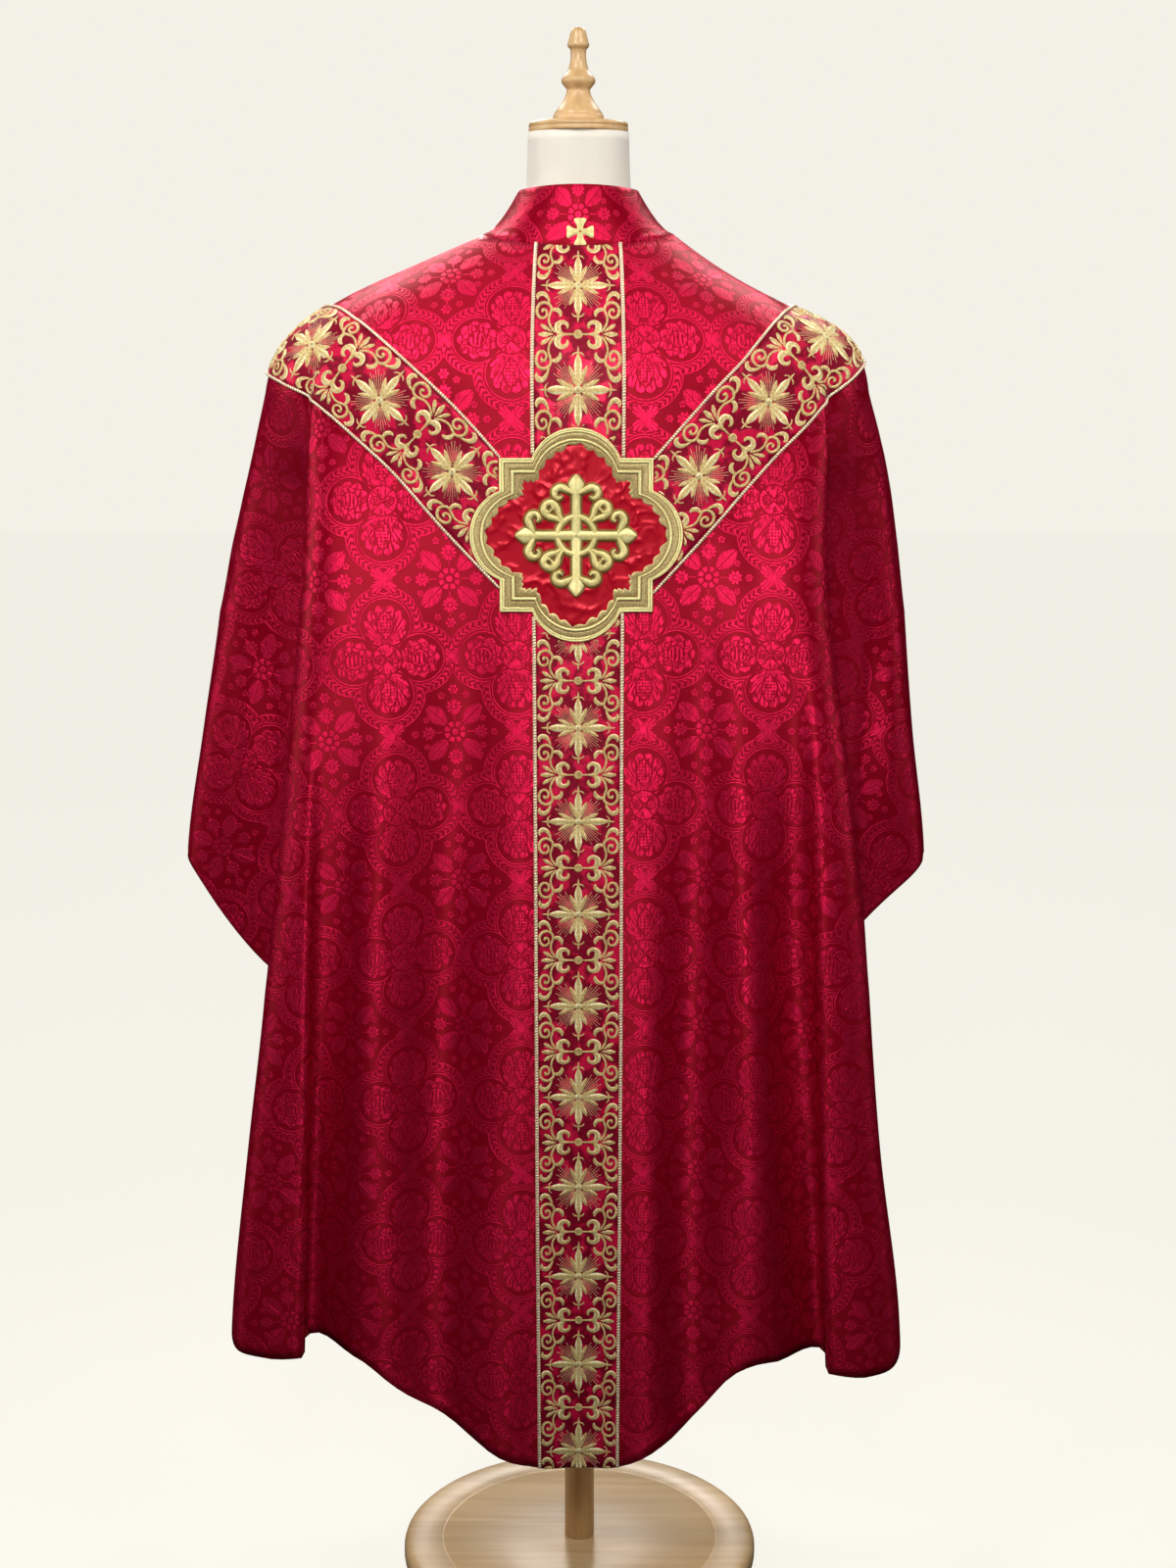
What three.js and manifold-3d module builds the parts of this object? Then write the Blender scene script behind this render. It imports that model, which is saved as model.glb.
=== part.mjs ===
// Gothic chasuble of red damask with gold embroidered bands, worn by a limbless dress form.
// Millimetres, +Z up, the floor at Z = 0. The back of the garment faces -Y and its left hand is -X.
import * as THREE from "three";
import { mergeVertices } from "three/addons/utils/BufferGeometryUtils.js";
import Module from "manifold-3d";

const wasm = await Module();
wasm.setup();

// Cloth, seams and what is sewn on
const CLOTH = { wall: 2, seamGap: 0.3, frontDepthShare: 0.88 };
const LAYERS = {
  band: { from: 0.3, to: 1.6 },
  medallionField: { from: 1.9, to: 3.9 },
  medallionBorder: { from: 1.9, to: 6.0 },
  medallionOrnament: { from: 4.2, to: 8.2 },
  neckCross: { from: 0.4, to: 2.0 },
};

// The seam where the collar is sewn to the panels
const NECKLINE = { halfWidth: 101, backY: 75, frontY: 70, backZ: 1494, sideZ: 1508, frontZ: 1440 };
const COLLAR = { halfWidth: 63, backY: 61, frontY: 56, backZ: 1557, sideZ: 1553, frontZ: 1490 };
const COLLAR_CUT = { wall: 2.4, flare: 0.65, seamLift: 0.4, steps: 36, rings: [0, 0.3, 0.65, 1] };

// The yoke runs from the neckline to the level where the cloth starts to hang
const HANG_Z = 1345;
const YOKE = {
  centre: { reachA: 0.41, dropA: 46, reachB: 0.97, riseB: 50 },
  left: { reachA: 0.64, dropA: 66, reachB: 0.947, riseB: 82 },
  right: { reachA: 0.64, dropA: 104, reachB: 0.947, riseB: 95 },
};

// The hanging cloth, a row for each level: where the shoulder fold and the outer crest stand to each hand,
// how far back the crest and the centre stand, and how much of the side valley has opened
const SECTIONS = [
  { z: 1345, sideLeft: 332, sideRight: 308, crestLeft: 272, crestRight: 240, crestY: 128, centreY: 148, fold: 0 },
  { z: 1290, sideLeft: 347, sideRight: 325, crestLeft: 271, crestRight: 243, crestY: 139, centreY: 149, fold: 0.3 },
  { z: 1240, sideLeft: 360, sideRight: 336, crestLeft: 275, crestRight: 248, crestY: 148, centreY: 150, fold: 0.65 },
  { z: 1180, sideLeft: 375, sideRight: 345, crestLeft: 282, crestRight: 254, crestY: 154, centreY: 151, fold: 0.9 },
  { z: 1110, sideLeft: 390, sideRight: 354, crestLeft: 290, crestRight: 261, crestY: 159, centreY: 153, fold: 1 },
  { z: 980, sideLeft: 412, sideRight: 366, crestLeft: 303, crestRight: 279, crestY: 167, centreY: 157, fold: 1 },
  { z: 850, sideLeft: 433, sideRight: 382, crestLeft: 317, crestRight: 296, crestY: 173, centreY: 163, fold: 1 },
  { z: 724, sideLeft: 437, sideRight: 384, crestLeft: 331, crestRight: 307, crestY: 179, centreY: 170, fold: 1 },
  { z: 550, sideLeft: 440, sideRight: 386, crestLeft: 353, crestRight: 322, crestY: 186, centreY: 181, fold: 1 },
  { z: 376, sideLeft: 440, sideRight: 386, crestLeft: 373, crestRight: 345, crestY: 192, centreY: 192, fold: 1 },
  { z: 200, sideLeft: 440, sideRight: 386, crestLeft: 381, crestRight: 352, crestY: 196, centreY: 201, fold: 1 },
];
const CREST = { round: 29, innerShare: 0.34, outerShare: 0.68, underX: 0.9, underY: 2.1 };
const VALLEY = { left: 205, right: 195, y: 74, slopeX: 0.6, slopeY: 0.55 };
const SHOULDER_FOLD = { inset: 13, y: 27 };

// Places round a section, from the centre line (0) to the shoulder fold (9), with the angle of each
// on the closed curve that the cloth has before it folds, and how square that curve is
const PLACE_ANGLES = [0, 13, 27, 40, 47, 52, 57, 68, 80, 90];
const LAST_PLACE = PLACE_ANGLES.length - 1;
const SQUARENESS = 2.8;

// Height of the hem at each place
const HEM = [
  { place: 0, backLeft: 207, backRight: 207, frontLeft: 232, frontRight: 232 },
  { place: 0.35, backLeft: 208, backRight: 209, frontLeft: 234, frontRight: 235 },
  { place: 0.7, backLeft: 225, backRight: 230, frontLeft: 250, frontRight: 252 },
  { place: 1, backLeft: 254, backRight: 258, frontLeft: 277, frontRight: 278 },
  { place: 1.4, backLeft: 289, backRight: 316, frontLeft: 312, frontRight: 326 },
  { place: 1.8, backLeft: 328, backRight: 326, frontLeft: 346, frontRight: 344 },
  { place: 2.2, backLeft: 342, backRight: 325, frontLeft: 356, frontRight: 348 },
  { place: 2.5, backLeft: 333, backRight: 314, frontLeft: 349, frontRight: 340 },
  { place: 3, backLeft: 331, backRight: 310, frontLeft: 347, frontRight: 337 },
  { place: 4, backLeft: 356, backRight: 340, frontLeft: 373, frontRight: 361 },
  { place: 5, backLeft: 470, backRight: 455, frontLeft: 490, frontRight: 480 },
  { place: 6, backLeft: 630, backRight: 640, frontLeft: 640, frontRight: 650 },
  { place: 7, backLeft: 724, backRight: 768, frontLeft: 730, frontRight: 772 },
  { place: 8, backLeft: 826, backRight: 826, frontLeft: 826, frontRight: 828 },
  { place: 9, backLeft: 846, backRight: 842, frontLeft: 846, frontRight: 842 },
];

// Soft flutes of the hanging cloth: distance from the centre line where each starts and at the hem, its half
// widths towards the centre line and away from it, how far it stands out (or in, when negative) at the hem,
// the height where it starts, and how far the crest beyond it leans in over it at the hem
const FLUTES = [
  { topX: -250, hemX: -303, inner: 62, outer: 22, out: -48, from: 1180, lean: 24 },
  { topX: -196, hemX: -206, inner: 34, outer: 34, out: 6, from: 1000, lean: 0 },
  { topX: -146, hemX: -150, inner: 36, outer: 36, out: -9, from: 1050, lean: 0 },
  { topX: -82, hemX: -82, inner: 40, outer: 40, out: 9, from: 1050, lean: 0 },
  { topX: 0, hemX: 0, inner: 46, outer: 46, out: -4, from: 900, lean: 0 },
  { topX: 72, hemX: 72, inner: 38, outer: 38, out: 8, from: 1050, lean: 0 },
  { topX: 122, hemX: 122, inner: 30, outer: 30, out: -9, from: 1050, lean: 0 },
  { topX: 164, hemX: 176, inner: 34, outer: 34, out: 7, from: 1000, lean: 0 },
  { topX: 215, hemX: 271, inner: 60, outer: 22, out: -45, from: 1180, lean: 20 },
];
const LEAN_FADE = 48;
const HEM_LEVEL = 207;
const FLUTES_END = 4;

// The tuck over each shoulder: its place, half width in places, depth, and the share of the yoke where it
// starts and where it is full
const TUCK = { place: 5.3, half: 1.3, depth: 8, start: 0.35, full: 0.8 };

// How finely the panels are cut into facets
const PANEL_COLUMNS = [
  { to: 1.8, count: 8 },
  { to: 3.2, count: 9 },
  { to: 6, count: 7 },
  { to: 9, count: 5 },
];
const PANEL_ROWS = { yoke: 6, hang: 10 };

// Embroidered bands: half width of the straight ones, and the edges of the ones that cross the shoulders,
// seen along Y, a row for each place along the band: distance from the centre line and height of each edge
const BAND_HALF = 44.5;
const ARMS = {
  left: [
    { lowerX: 62, lowerZ: 1133, upperX: 40, upperZ: 1240 },
    { lowerX: 121, lowerZ: 1196, upperX: 78, upperZ: 1279 },
    { lowerX: 170, lowerZ: 1252, upperX: 100, upperZ: 1304 },
    { lowerX: 196, lowerZ: 1278, upperX: 133, upperZ: 1340 },
    { lowerX: 230, lowerZ: 1307, upperX: 164, upperZ: 1369 },
    { lowerX: 261, lowerZ: 1333, upperX: 193, upperZ: 1393 },
    { lowerX: 269, lowerZ: 1350, upperX: 225, upperZ: 1416 },
    { lowerX: 286, lowerZ: 1361, upperX: 256, upperZ: 1437 },
    { lowerX: 380, lowerZ: 1376, upperX: 290, upperZ: 1466 },
  ],
  right: [
    { lowerX: 66, lowerZ: 1136, upperX: 40, upperZ: 1240 },
    { lowerX: 100, lowerZ: 1172, upperX: 81, upperZ: 1286 },
    { lowerX: 154, lowerZ: 1231, upperX: 100, upperZ: 1310 },
    { lowerX: 224, lowerZ: 1308, upperX: 136, upperZ: 1350 },
    { lowerX: 240, lowerZ: 1333, upperX: 173, upperZ: 1384 },
    { lowerX: 250, lowerZ: 1346, upperX: 205, upperZ: 1411 },
    { lowerX: 271, lowerZ: 1355, upperX: 238, upperZ: 1431 },
    { lowerX: 310, lowerZ: 1366, upperX: 264, upperZ: 1448 },
    { lowerX: 360, lowerZ: 1372, upperX: 290, upperZ: 1466 },
  ],
};
const FRONT_ARM_START = 45;
const ABOVE_NECK = 1600;
const CUTTER_REACH = 420;

// The barbed quatrefoil medallion of the back and the ornament on it
const MEDALLION = { x: -2, z: 1205, square: 78, lobeAt: 60, lobeRadius: 48.5, border: 25, bandLap: 70 };
const LOBE_STEPS = 12;
const HOOP_STEPS = 32;
const ORNAMENT = { armHalf: 6.5, reach: 47, flare: 15, flareDepth: 13, ring: 19, ringWidth: 7 };

// The small gold cross on the collar
const NECK_CROSS = { x: 2, z: 1507, size: 15, waist: 3.2, flare: 6.2, flareDepth: 10 };
const FLARE_TURN = 0.3;

// The dress form, a row for each level of the torso and the neck
const TORSO = [
  { z: 700, halfWidth: 120, halfDepth: 78 },
  { z: 712, halfWidth: 148, halfDepth: 96 },
  { z: 745, halfWidth: 164, halfDepth: 106 },
  { z: 850, halfWidth: 171, halfDepth: 112 },
  { z: 950, halfWidth: 158, halfDepth: 104 },
  { z: 1050, halfWidth: 143, halfDepth: 94 },
  { z: 1150, halfWidth: 156, halfDepth: 98 },
  { z: 1250, halfWidth: 180, halfDepth: 106 },
  { z: 1330, halfWidth: 203, halfDepth: 104 },
  { z: 1385, halfWidth: 224, halfDepth: 88 },
  { z: 1412, halfWidth: 232, halfDepth: 70 },
  { z: 1430, halfWidth: 223, halfDepth: 57 },
  { z: 1443, halfWidth: 201, halfDepth: 50 },
  { z: 1456, halfWidth: 169, halfDepth: 45 },
  { z: 1470, halfWidth: 136, halfDepth: 43 },
  { z: 1484, halfWidth: 108, halfDepth: 42 },
  { z: 1498, halfWidth: 86, halfDepth: 42 },
  { z: 1514, halfWidth: 67, halfDepth: 45 },
  { z: 1535, halfWidth: 57, halfDepth: 49 },
  { z: 1575, halfWidth: 54, halfDepth: 49 },
  { z: 1612, halfWidth: 53, halfDepth: 49 },
];
const TORSO_STEPS = 28;
const TORSO_SQUARENESS = 2.25;
const NECK_CAP = { bottom: 1612.3, height: 11, radius: 52, edge: 3, bevel: 4 };
const FINIAL_PROFILE = [
  { z: 0, radius: 27 },
  { z: 7, radius: 26 },
  { z: 18, radius: 18 },
  { z: 29, radius: 12.5 },
  { z: 34, radius: 13.5 },
  { z: 38, radius: 17 },
  { z: 43, radius: 17.4 },
  { z: 47, radius: 14.5 },
  { z: 53, radius: 10.4 },
  { z: 60, radius: 8.6 },
  { z: 71, radius: 8.2 },
  { z: 73, radius: 9 },
  { z: 75.5, radius: 11.2 },
  { z: 79, radius: 10.8 },
  { z: 91, radius: 7.6 },
  { z: 94.3, radius: 5.4 },
];
const POLE = { radius: 17, top: 699.7, bottom: 22.3 };
const BASE = { radius: 205, height: 22, edge: 6 };
const LATHE_STEPS = { cap: 36, finial: 20, pole: 24, base: 48 };

const COLOURS = {
  damask: { color: 0xa3112f, roughness: 0.5, metalness: 0 },
  satin: { color: 0xc4162e, roughness: 0.4, metalness: 0 },
  band: { color: 0x8c1230, roughness: 0.5, metalness: 0 },
  gold: { color: 0xc9a85a, roughness: 0.4, metalness: 0.4 },
  linen: { color: 0xe6dfcf, roughness: 0.9, metalness: 0 },
  wood: { color: 0xc89a5b, roughness: 0.5, metalness: 0 },
};

const mix = (a, b, share) => a + (b - a) * share;

// A smooth curve through values that stand at whole numbers
function through(values, place) {
  const last = values.length - 1;
  const at = Math.min(Math.max(place, 0), last);
  const i = Math.min(Math.floor(at), last - 1);
  const u = at - i;
  const p1 = values[i];
  const p2 = values[i + 1];
  const p0 = i > 0 ? values[i - 1] : 2 * p1 - p2;
  const p3 = i + 2 <= last ? values[i + 2] : 2 * p2 - p1;
  const a = 2 * p1;
  const b = p2 - p0;
  const c = 2 * p0 - 5 * p1 + 4 * p2 - p3;
  const d = 3 * p1 - p0 - 3 * p2 + p3;
  return (a + b * u + c * u * u + d * u * u * u) / 2;
}

function smoothStep(share) {
  const u = Math.min(Math.max(share, 0), 1);
  return u * u * (3 - 2 * u);
}

// The row of a table at a value of one of its columns, the others between their neighbours
function rowAt(table, key, value) {
  const last = table.length - 1;
  const rising = table[last][key] > table[0][key] ? 1 : -1;
  let i = 0;
  while (i < last - 1 && (value - table[i + 1][key]) * rising > 0) i += 1;
  const share = (value - table[i][key]) / (table[i + 1][key] - table[i][key]);
  const at = i + Math.min(Math.max(share, 0), 1);
  const row = {};
  for (const column of Object.keys(table[0])) {
    row[column] = through(table.map((entry) => entry[column]), at);
  }
  return row;
}

// The places round one quarter of the cloth at a height, as distances outwards and from the shoulder plane
function quarterPlaces(z, hand) {
  const row = rowAt(SECTIONS, "z", z);
  const side = hand === "left" ? row.sideLeft : row.sideRight;
  const crest = hand === "left" ? row.crestLeft : row.crestRight;
  const valley = VALLEY[hand];
  const round = CREST.round;
  const folded = [
    [0, row.centreY],
    [CREST.innerShare * crest, row.centreY],
    [CREST.outerShare * crest, (row.centreY + row.crestY) / 2],
    [crest - round, row.crestY],
    [crest, row.crestY - round],
    [crest - CREST.underX * round, row.crestY - CREST.underY * round],
    [valley, VALLEY.y],
    [mix(valley, side, VALLEY.slopeX), VALLEY.slopeY * VALLEY.y],
    [side - SHOULDER_FOLD.inset, SHOULDER_FOLD.y],
    [side, 0],
  ];
  const power = 2 / SQUARENESS;
  return folded.map(([x, y], i) => {
    const angle = THREE.MathUtils.degToRad(PLACE_ANGLES[i]);
    const openX = side * Math.sin(angle) ** power;
    const openY = row.centreY * Math.max(Math.cos(angle), 0) ** power;
    return [mix(openX, x, row.fold), mix(openY, y, row.fold)];
  });
}

const bump = (away) => (Math.abs(away) < 1 ? Math.cos((away * Math.PI) / 2) ** 2 : 0);

// How far the flutes move a point of the hanging cloth outwards, and how far the crests lean inwards there
function fluteShift(x, z) {
  const shift = { depth: 0, lean: 0 };
  for (const flute of FLUTES) {
    const share = (flute.from - z) / (flute.from - HEM_LEVEL);
    const offset = (x - mix(flute.topX, flute.hemX, share)) * (flute.hemX < 0 ? -1 : 1);
    const grown = smoothStep(share);
    shift.depth += flute.out * grown * bump(offset / (offset > 0 ? flute.outer : flute.inner));
    const beyond = offset - flute.outer;
    shift.lean += flute.lean * grown * bump(beyond / (beyond > 0 ? LEAN_FADE : flute.outer));
  }
  return shift;
}

// A point of the hanging cloth: face is -1 for the back and 1 for the front
function hangPoint(face, hand, place, z, tuckShare = 1 - rowAt(SECTIONS, "z", z).fold) {
  const places = quarterPlaces(z, hand);
  const outward = hand === "left" ? -1 : 1;
  const x = through(places.map((p) => p[0]), place) * outward;
  const flute = fluteShift(x, z);
  const held = smoothStep(FLUTES_END - place);
  const y = through(places.map((p) => p[1]), place) + flute.depth * held;
  const depth = y * face * (face > 0 ? CLOTH.frontDepthShare : 1);
  return tucked(new THREE.Vector3(x - flute.lean * held * outward, depth, z), place, tuckShare);
}

// The point drawn in towards the upright axis by the tuck that leads up from the side valley
function tucked(point, place, share) {
  const pull = TUCK.depth * share * bump((place - TUCK.place) / TUCK.half);
  const reach = Math.hypot(point.x, point.y);
  point.x -= (pull * point.x) / reach;
  point.y -= (pull * point.y) / reach;
  return point;
}

function angleAt(place) {
  return THREE.MathUtils.degToRad(through(PLACE_ANGLES, place));
}

// The seam line at an angle from the centre line (0) to the shoulder (90 degrees)
function rimPoint(rim, face, hand, angle) {
  const outward = hand === "left" ? -1 : 1;
  const centreZ = face < 0 ? rim.backZ : rim.frontZ;
  return new THREE.Vector3(
    outward * rim.halfWidth * Math.sin(angle),
    face * (face < 0 ? rim.backY : rim.frontY) * Math.cos(angle),
    mix(centreZ, rim.sideZ, Math.sin(angle) ** 2),
  );
}

// A point of the yoke: share 0 is the neckline and 1 is the level where the cloth starts to hang
function yokePoint(face, hand, place, share) {
  const angle = angleAt(place);
  const from = rimPoint(NECKLINE, face, hand, angle);
  const to = hangPoint(face, hand, place, HANG_Z, 0);
  const towardShoulder = Math.sin(angle) ** 2;
  const centre = YOKE.centre;
  const shoulder = YOKE[hand];
  const a = from.clone().lerp(to, mix(centre.reachA, shoulder.reachA, towardShoulder));
  const b = from.clone().lerp(to, mix(centre.reachB, shoulder.reachB, towardShoulder));
  a.z = from.z - mix(centre.dropA, shoulder.dropA, towardShoulder);
  b.z = to.z + mix(centre.riseB, shoulder.riseB, towardShoulder);
  const point = new THREE.CubicBezierCurve3(from, a, b, to).getPoint(share);
  return tucked(point, place, smoothStep((share - TUCK.start) / (TUCK.full - TUCK.start)));
}

function hemColumn(face, hand) {
  return (face < 0 ? "back" : "front") + (hand === "left" ? "Left" : "Right");
}

// The panel's outer surface as rows of points from the left shoulder seam to the right one
function panelGrid(face) {
  const places = [0];
  for (const { to, count } of PANEL_COLUMNS) {
    const from = places[places.length - 1];
    for (let i = 1; i <= count; i += 1) places.push(mix(from, to, i / count));
  }
  const columns = [
    ...places.slice(1).reverse().map((place) => ({ hand: "left", place })),
    ...places.map((place) => ({ hand: "right", place })),
  ];
  const rows = [];
  for (let j = 0; j < PANEL_ROWS.yoke; j += 1) {
    rows.push(columns.map((c) => yokePoint(face, c.hand, c.place, j / PANEL_ROWS.yoke)));
  }
  for (let j = 0; j <= PANEL_ROWS.hang; j += 1) {
    rows.push(
      columns.map((c) => {
        const hem = rowAt(HEM, "place", c.place)[hemColumn(face, c.hand)];
        return hangPoint(face, c.hand, c.place, mix(HANG_Z, hem, j / PANEL_ROWS.hang));
      }),
    );
  }
  for (const row of rows) {
    row[0].y = (face * CLOTH.seamGap) / 2;
    row[row.length - 1].y = (face * CLOTH.seamGap) / 2;
  }
  return rows;
}

// The way outwards at each point of a grid whose rows run anticlockwise seen from above when turn is 1
function gridNormals(rows, turn, seamed) {
  return rows.map((row, j) =>
    row.map((point, i) => {
      const along = row[Math.min(i + 1, row.length - 1)].clone().sub(row[Math.max(i - 1, 0)]);
      const down = rows[Math.min(j + 1, rows.length - 1)][i].clone();
      down.sub(rows[Math.max(j - 1, 0)][i]);
      const normal = down.cross(along).multiplyScalar(turn);
      if (seamed && (i === 0 || i === row.length - 1)) normal.y = 0;
      return normal.normalize();
    }),
  );
}

function toManifold(points, faces) {
  const vertProperties = new Float32Array(points.flatMap((p) => [p.x, p.y, p.z]));
  const triVerts = new Uint32Array(faces.flat());
  return new wasm.Manifold(new wasm.Mesh({ numProp: 3, vertProperties, triVerts }));
}

// A closed wall between two distances from the surface that a grid gives
function wall(rows, normals, from, to, turn) {
  const height = rows.length;
  const width = rows[0].length;
  const points = [];
  for (const distance of [from, to]) {
    rows.forEach((row, j) => {
      row.forEach((p, i) => points.push(p.clone().addScaledVector(normals[j][i], distance)));
    });
  }
  const at = (layer, j, i) => layer * width * height + j * width + i;
  const faces = [];
  const quad = (a, b, c, d) => {
    const corners = turn > 0 ? [a, b, c, d] : [a, d, c, b];
    faces.push([corners[0], corners[1], corners[2]], [corners[0], corners[2], corners[3]]);
  };
  for (let j = 0; j < height - 1; j += 1) {
    for (let i = 0; i < width - 1; i += 1) {
      quad(at(1, j, i), at(1, j + 1, i), at(1, j + 1, i + 1), at(1, j, i + 1));
      quad(at(0, j, i), at(0, j, i + 1), at(0, j + 1, i + 1), at(0, j + 1, i));
    }
  }
  for (let i = 0; i < width - 1; i += 1) {
    quad(at(0, 0, i), at(1, 0, i), at(1, 0, i + 1), at(0, 0, i + 1));
    quad(at(1, height - 1, i), at(0, height - 1, i), at(0, height - 1, i + 1), at(1, height - 1, i + 1));
  }
  for (let j = 0; j < height - 1; j += 1) {
    quad(at(0, j, 0), at(0, j + 1, 0), at(1, j + 1, 0), at(1, j, 0));
    quad(at(1, j, width - 1), at(1, j + 1, width - 1), at(0, j + 1, width - 1), at(0, j, width - 1));
  }
  return toManifold(points, faces);
}

// A closed geometry as a solid that can be joined and cut
function solidOf(geometry) {
  geometry.deleteAttribute("normal");
  geometry.deleteAttribute("uv");
  const merged = mergeVertices(geometry);
  const triVerts = new Uint32Array(merged.index.array);
  const mesh = new wasm.Mesh({ numProp: 3, vertProperties: merged.attributes.position.array, triVerts });
  return new wasm.Manifold(mesh);
}

// A solid straight through the panel of one face, with an outline seen along Y
function cutter(outline, face) {
  const shape = new THREE.Shape(outline.map(([x, z]) => new THREE.Vector2(x, z)));
  const upright = new THREE.ExtrudeGeometry(shape, { depth: CUTTER_REACH, bevelEnabled: false });
  upright.rotateX(Math.PI / 2);
  if (face > 0) upright.translate(0, CUTTER_REACH, 0);
  return solidOf(upright);
}

// The outline of a band that crosses a shoulder
function armOutline(hand) {
  const outward = hand === "left" ? -1 : 1;
  const lower = ARMS[hand].map((row) => [outward * row.lowerX, row.lowerZ]);
  const upper = ARMS[hand].map((row) => [outward * row.upperX, row.upperZ]);
  return [...lower, ...upper.reverse()];
}

function rectangle(x0, z0, x1, z1) {
  return [[x0, z0], [x1, z0], [x1, z1], [x0, z1]];
}

// The medallion's outline, a square with a round lobe on each side, drawn in by inset
function quatrefoil(inset) {
  const half = MEDALLION.square - inset;
  const radius = MEDALLION.lobeRadius - inset;
  const meet = Math.acos((half - MEDALLION.lobeAt) / radius);
  const outline = [];
  for (let lobe = 0; lobe < 4; lobe += 1) {
    const facing = (lobe * Math.PI) / 2;
    for (let step = 0; step <= LOBE_STEPS; step += 1) {
      const angle = facing + mix(-meet, meet, step / LOBE_STEPS);
      outline.push([
        MEDALLION.x + MEDALLION.lobeAt * Math.cos(facing) + radius * Math.cos(angle),
        MEDALLION.z + MEDALLION.lobeAt * Math.sin(facing) + radius * Math.sin(angle),
      ]);
    }
    const corner = facing + Math.PI / 4;
    outline.push([
      MEDALLION.x + half * Math.SQRT2 * Math.cos(corner),
      MEDALLION.z + half * Math.SQRT2 * Math.sin(corner),
    ]);
  }
  return outline;
}

// A cross with flared arms, as the outline of one arm turned to four sides
function flaredCross(x, z, waist, reach, flare, flareDepth) {
  const outline = [];
  for (let arm = 0; arm < 4; arm += 1) {
    const facing = (arm * Math.PI) / 2;
    const corners = [
      [waist, -waist],
      [reach - flareDepth, -waist],
      [reach - FLARE_TURN * flareDepth, -flare],
      [reach, 0],
      [reach - FLARE_TURN * flareDepth, flare],
      [reach - flareDepth, waist],
    ];
    for (const [out, across] of corners) {
      outline.push([
        x + out * Math.cos(facing) - across * Math.sin(facing),
        z + out * Math.sin(facing) + across * Math.cos(facing),
      ]);
    }
  }
  return outline;
}

function circleOutline(x, z, radius, steps) {
  const outline = [];
  for (let i = 0; i < steps; i += 1) {
    const angle = (2 * Math.PI * i) / steps;
    outline.push([x + radius * Math.cos(angle), z + radius * Math.sin(angle)]);
  }
  return outline;
}

// The collar as rings from the seam up to its edge, closed round the neck
function collarWall(from, to) {
  const { steps, rings, seamLift } = COLLAR_CUT;
  const rows = rings.map((share) => {
    const ring = [];
    for (let i = 0; i < steps; i += 1) {
      const turn = (i / steps) * 4;
      const quarter = Math.floor(turn);
      const angle = ((turn - quarter) * Math.PI) / 2;
      const spot = [
        [-1, "right", angle],
        [1, "right", Math.PI / 2 - angle],
        [1, "left", angle],
        [-1, "left", Math.PI / 2 - angle],
      ][quarter];
      const low = rimPoint(NECKLINE, ...spot);
      const high = rimPoint(COLLAR, ...spot);
      const inward = share ** COLLAR_CUT.flare;
      const z = mix(low.z + seamLift, high.z, share);
      ring.push(new THREE.Vector3(mix(low.x, high.x, inward), mix(low.y, high.y, inward), z));
    }
    return ring;
  });
  const points = [];
  const width = steps;
  const height = rows.length;
  for (const distance of [from, to]) {
    rows.forEach((row, j) => {
      row.forEach((p, i) => {
        const along = row[(i + 1) % width].clone().sub(row[(i + width - 1) % width]);
        const up = rows[Math.min(j + 1, height - 1)][i].clone().sub(rows[Math.max(j - 1, 0)][i]);
        const normal = along.cross(up).normalize();
        points.push(p.clone().addScaledVector(normal, distance));
      });
    });
  }
  const at = (layer, j, i) => layer * width * height + j * width + (i % width);
  const faces = [];
  const quad = (a, b, c, d) => faces.push([a, b, c], [a, c, d]);
  for (let i = 0; i < width; i += 1) {
    for (let j = 0; j < height - 1; j += 1) {
      quad(at(1, j, i), at(1, j, i + 1), at(1, j + 1, i + 1), at(1, j + 1, i));
      quad(at(0, j, i), at(0, j + 1, i), at(0, j + 1, i + 1), at(0, j, i + 1));
    }
    quad(at(0, 0, i), at(0, 0, i + 1), at(1, 0, i + 1), at(1, 0, i));
    quad(at(1, height - 1, i), at(1, height - 1, i + 1), at(0, height - 1, i + 1), at(0, height - 1, i));
  }
  return toManifold(points, faces);
}

// A closed solid through level rings, each with as many points as the others
function ringSolid(rings) {
  const steps = rings[0].length;
  const points = rings.flat();
  const faces = [];
  for (let j = 0; j < rings.length - 1; j += 1) {
    for (let i = 0; i < steps; i += 1) {
      const next = (i + 1) % steps;
      const a = j * steps + i;
      const b = j * steps + next;
      faces.push([a, b, b + steps], [a, b + steps, a + steps]);
    }
  }
  for (const [ring, turn] of [[0, -1], [rings.length - 1, 1]]) {
    const z = rings[ring][0].z;
    points.push(new THREE.Vector3(0, 0, z));
    const centre = points.length - 1;
    for (let i = 0; i < steps; i += 1) {
      const a = ring * steps + i;
      const b = ring * steps + ((i + 1) % steps);
      faces.push(turn > 0 ? [a, b, centre] : [b, a, centre]);
    }
  }
  return toManifold(points, faces);
}

function torso() {
  const power = 2 / TORSO_SQUARENESS;
  const signedPower = (value) => Math.sign(value) * Math.abs(value) ** power;
  const rings = TORSO.map((row) => {
    const ring = [];
    for (let i = 0; i < TORSO_STEPS; i += 1) {
      const angle = (2 * Math.PI * i) / TORSO_STEPS;
      ring.push(
        new THREE.Vector3(
          row.halfWidth * signedPower(Math.cos(angle)),
          row.halfDepth * signedPower(Math.sin(angle)),
          row.z,
        ),
      );
    }
    return ring;
  });
  return ringSolid(rings);
}

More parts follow.
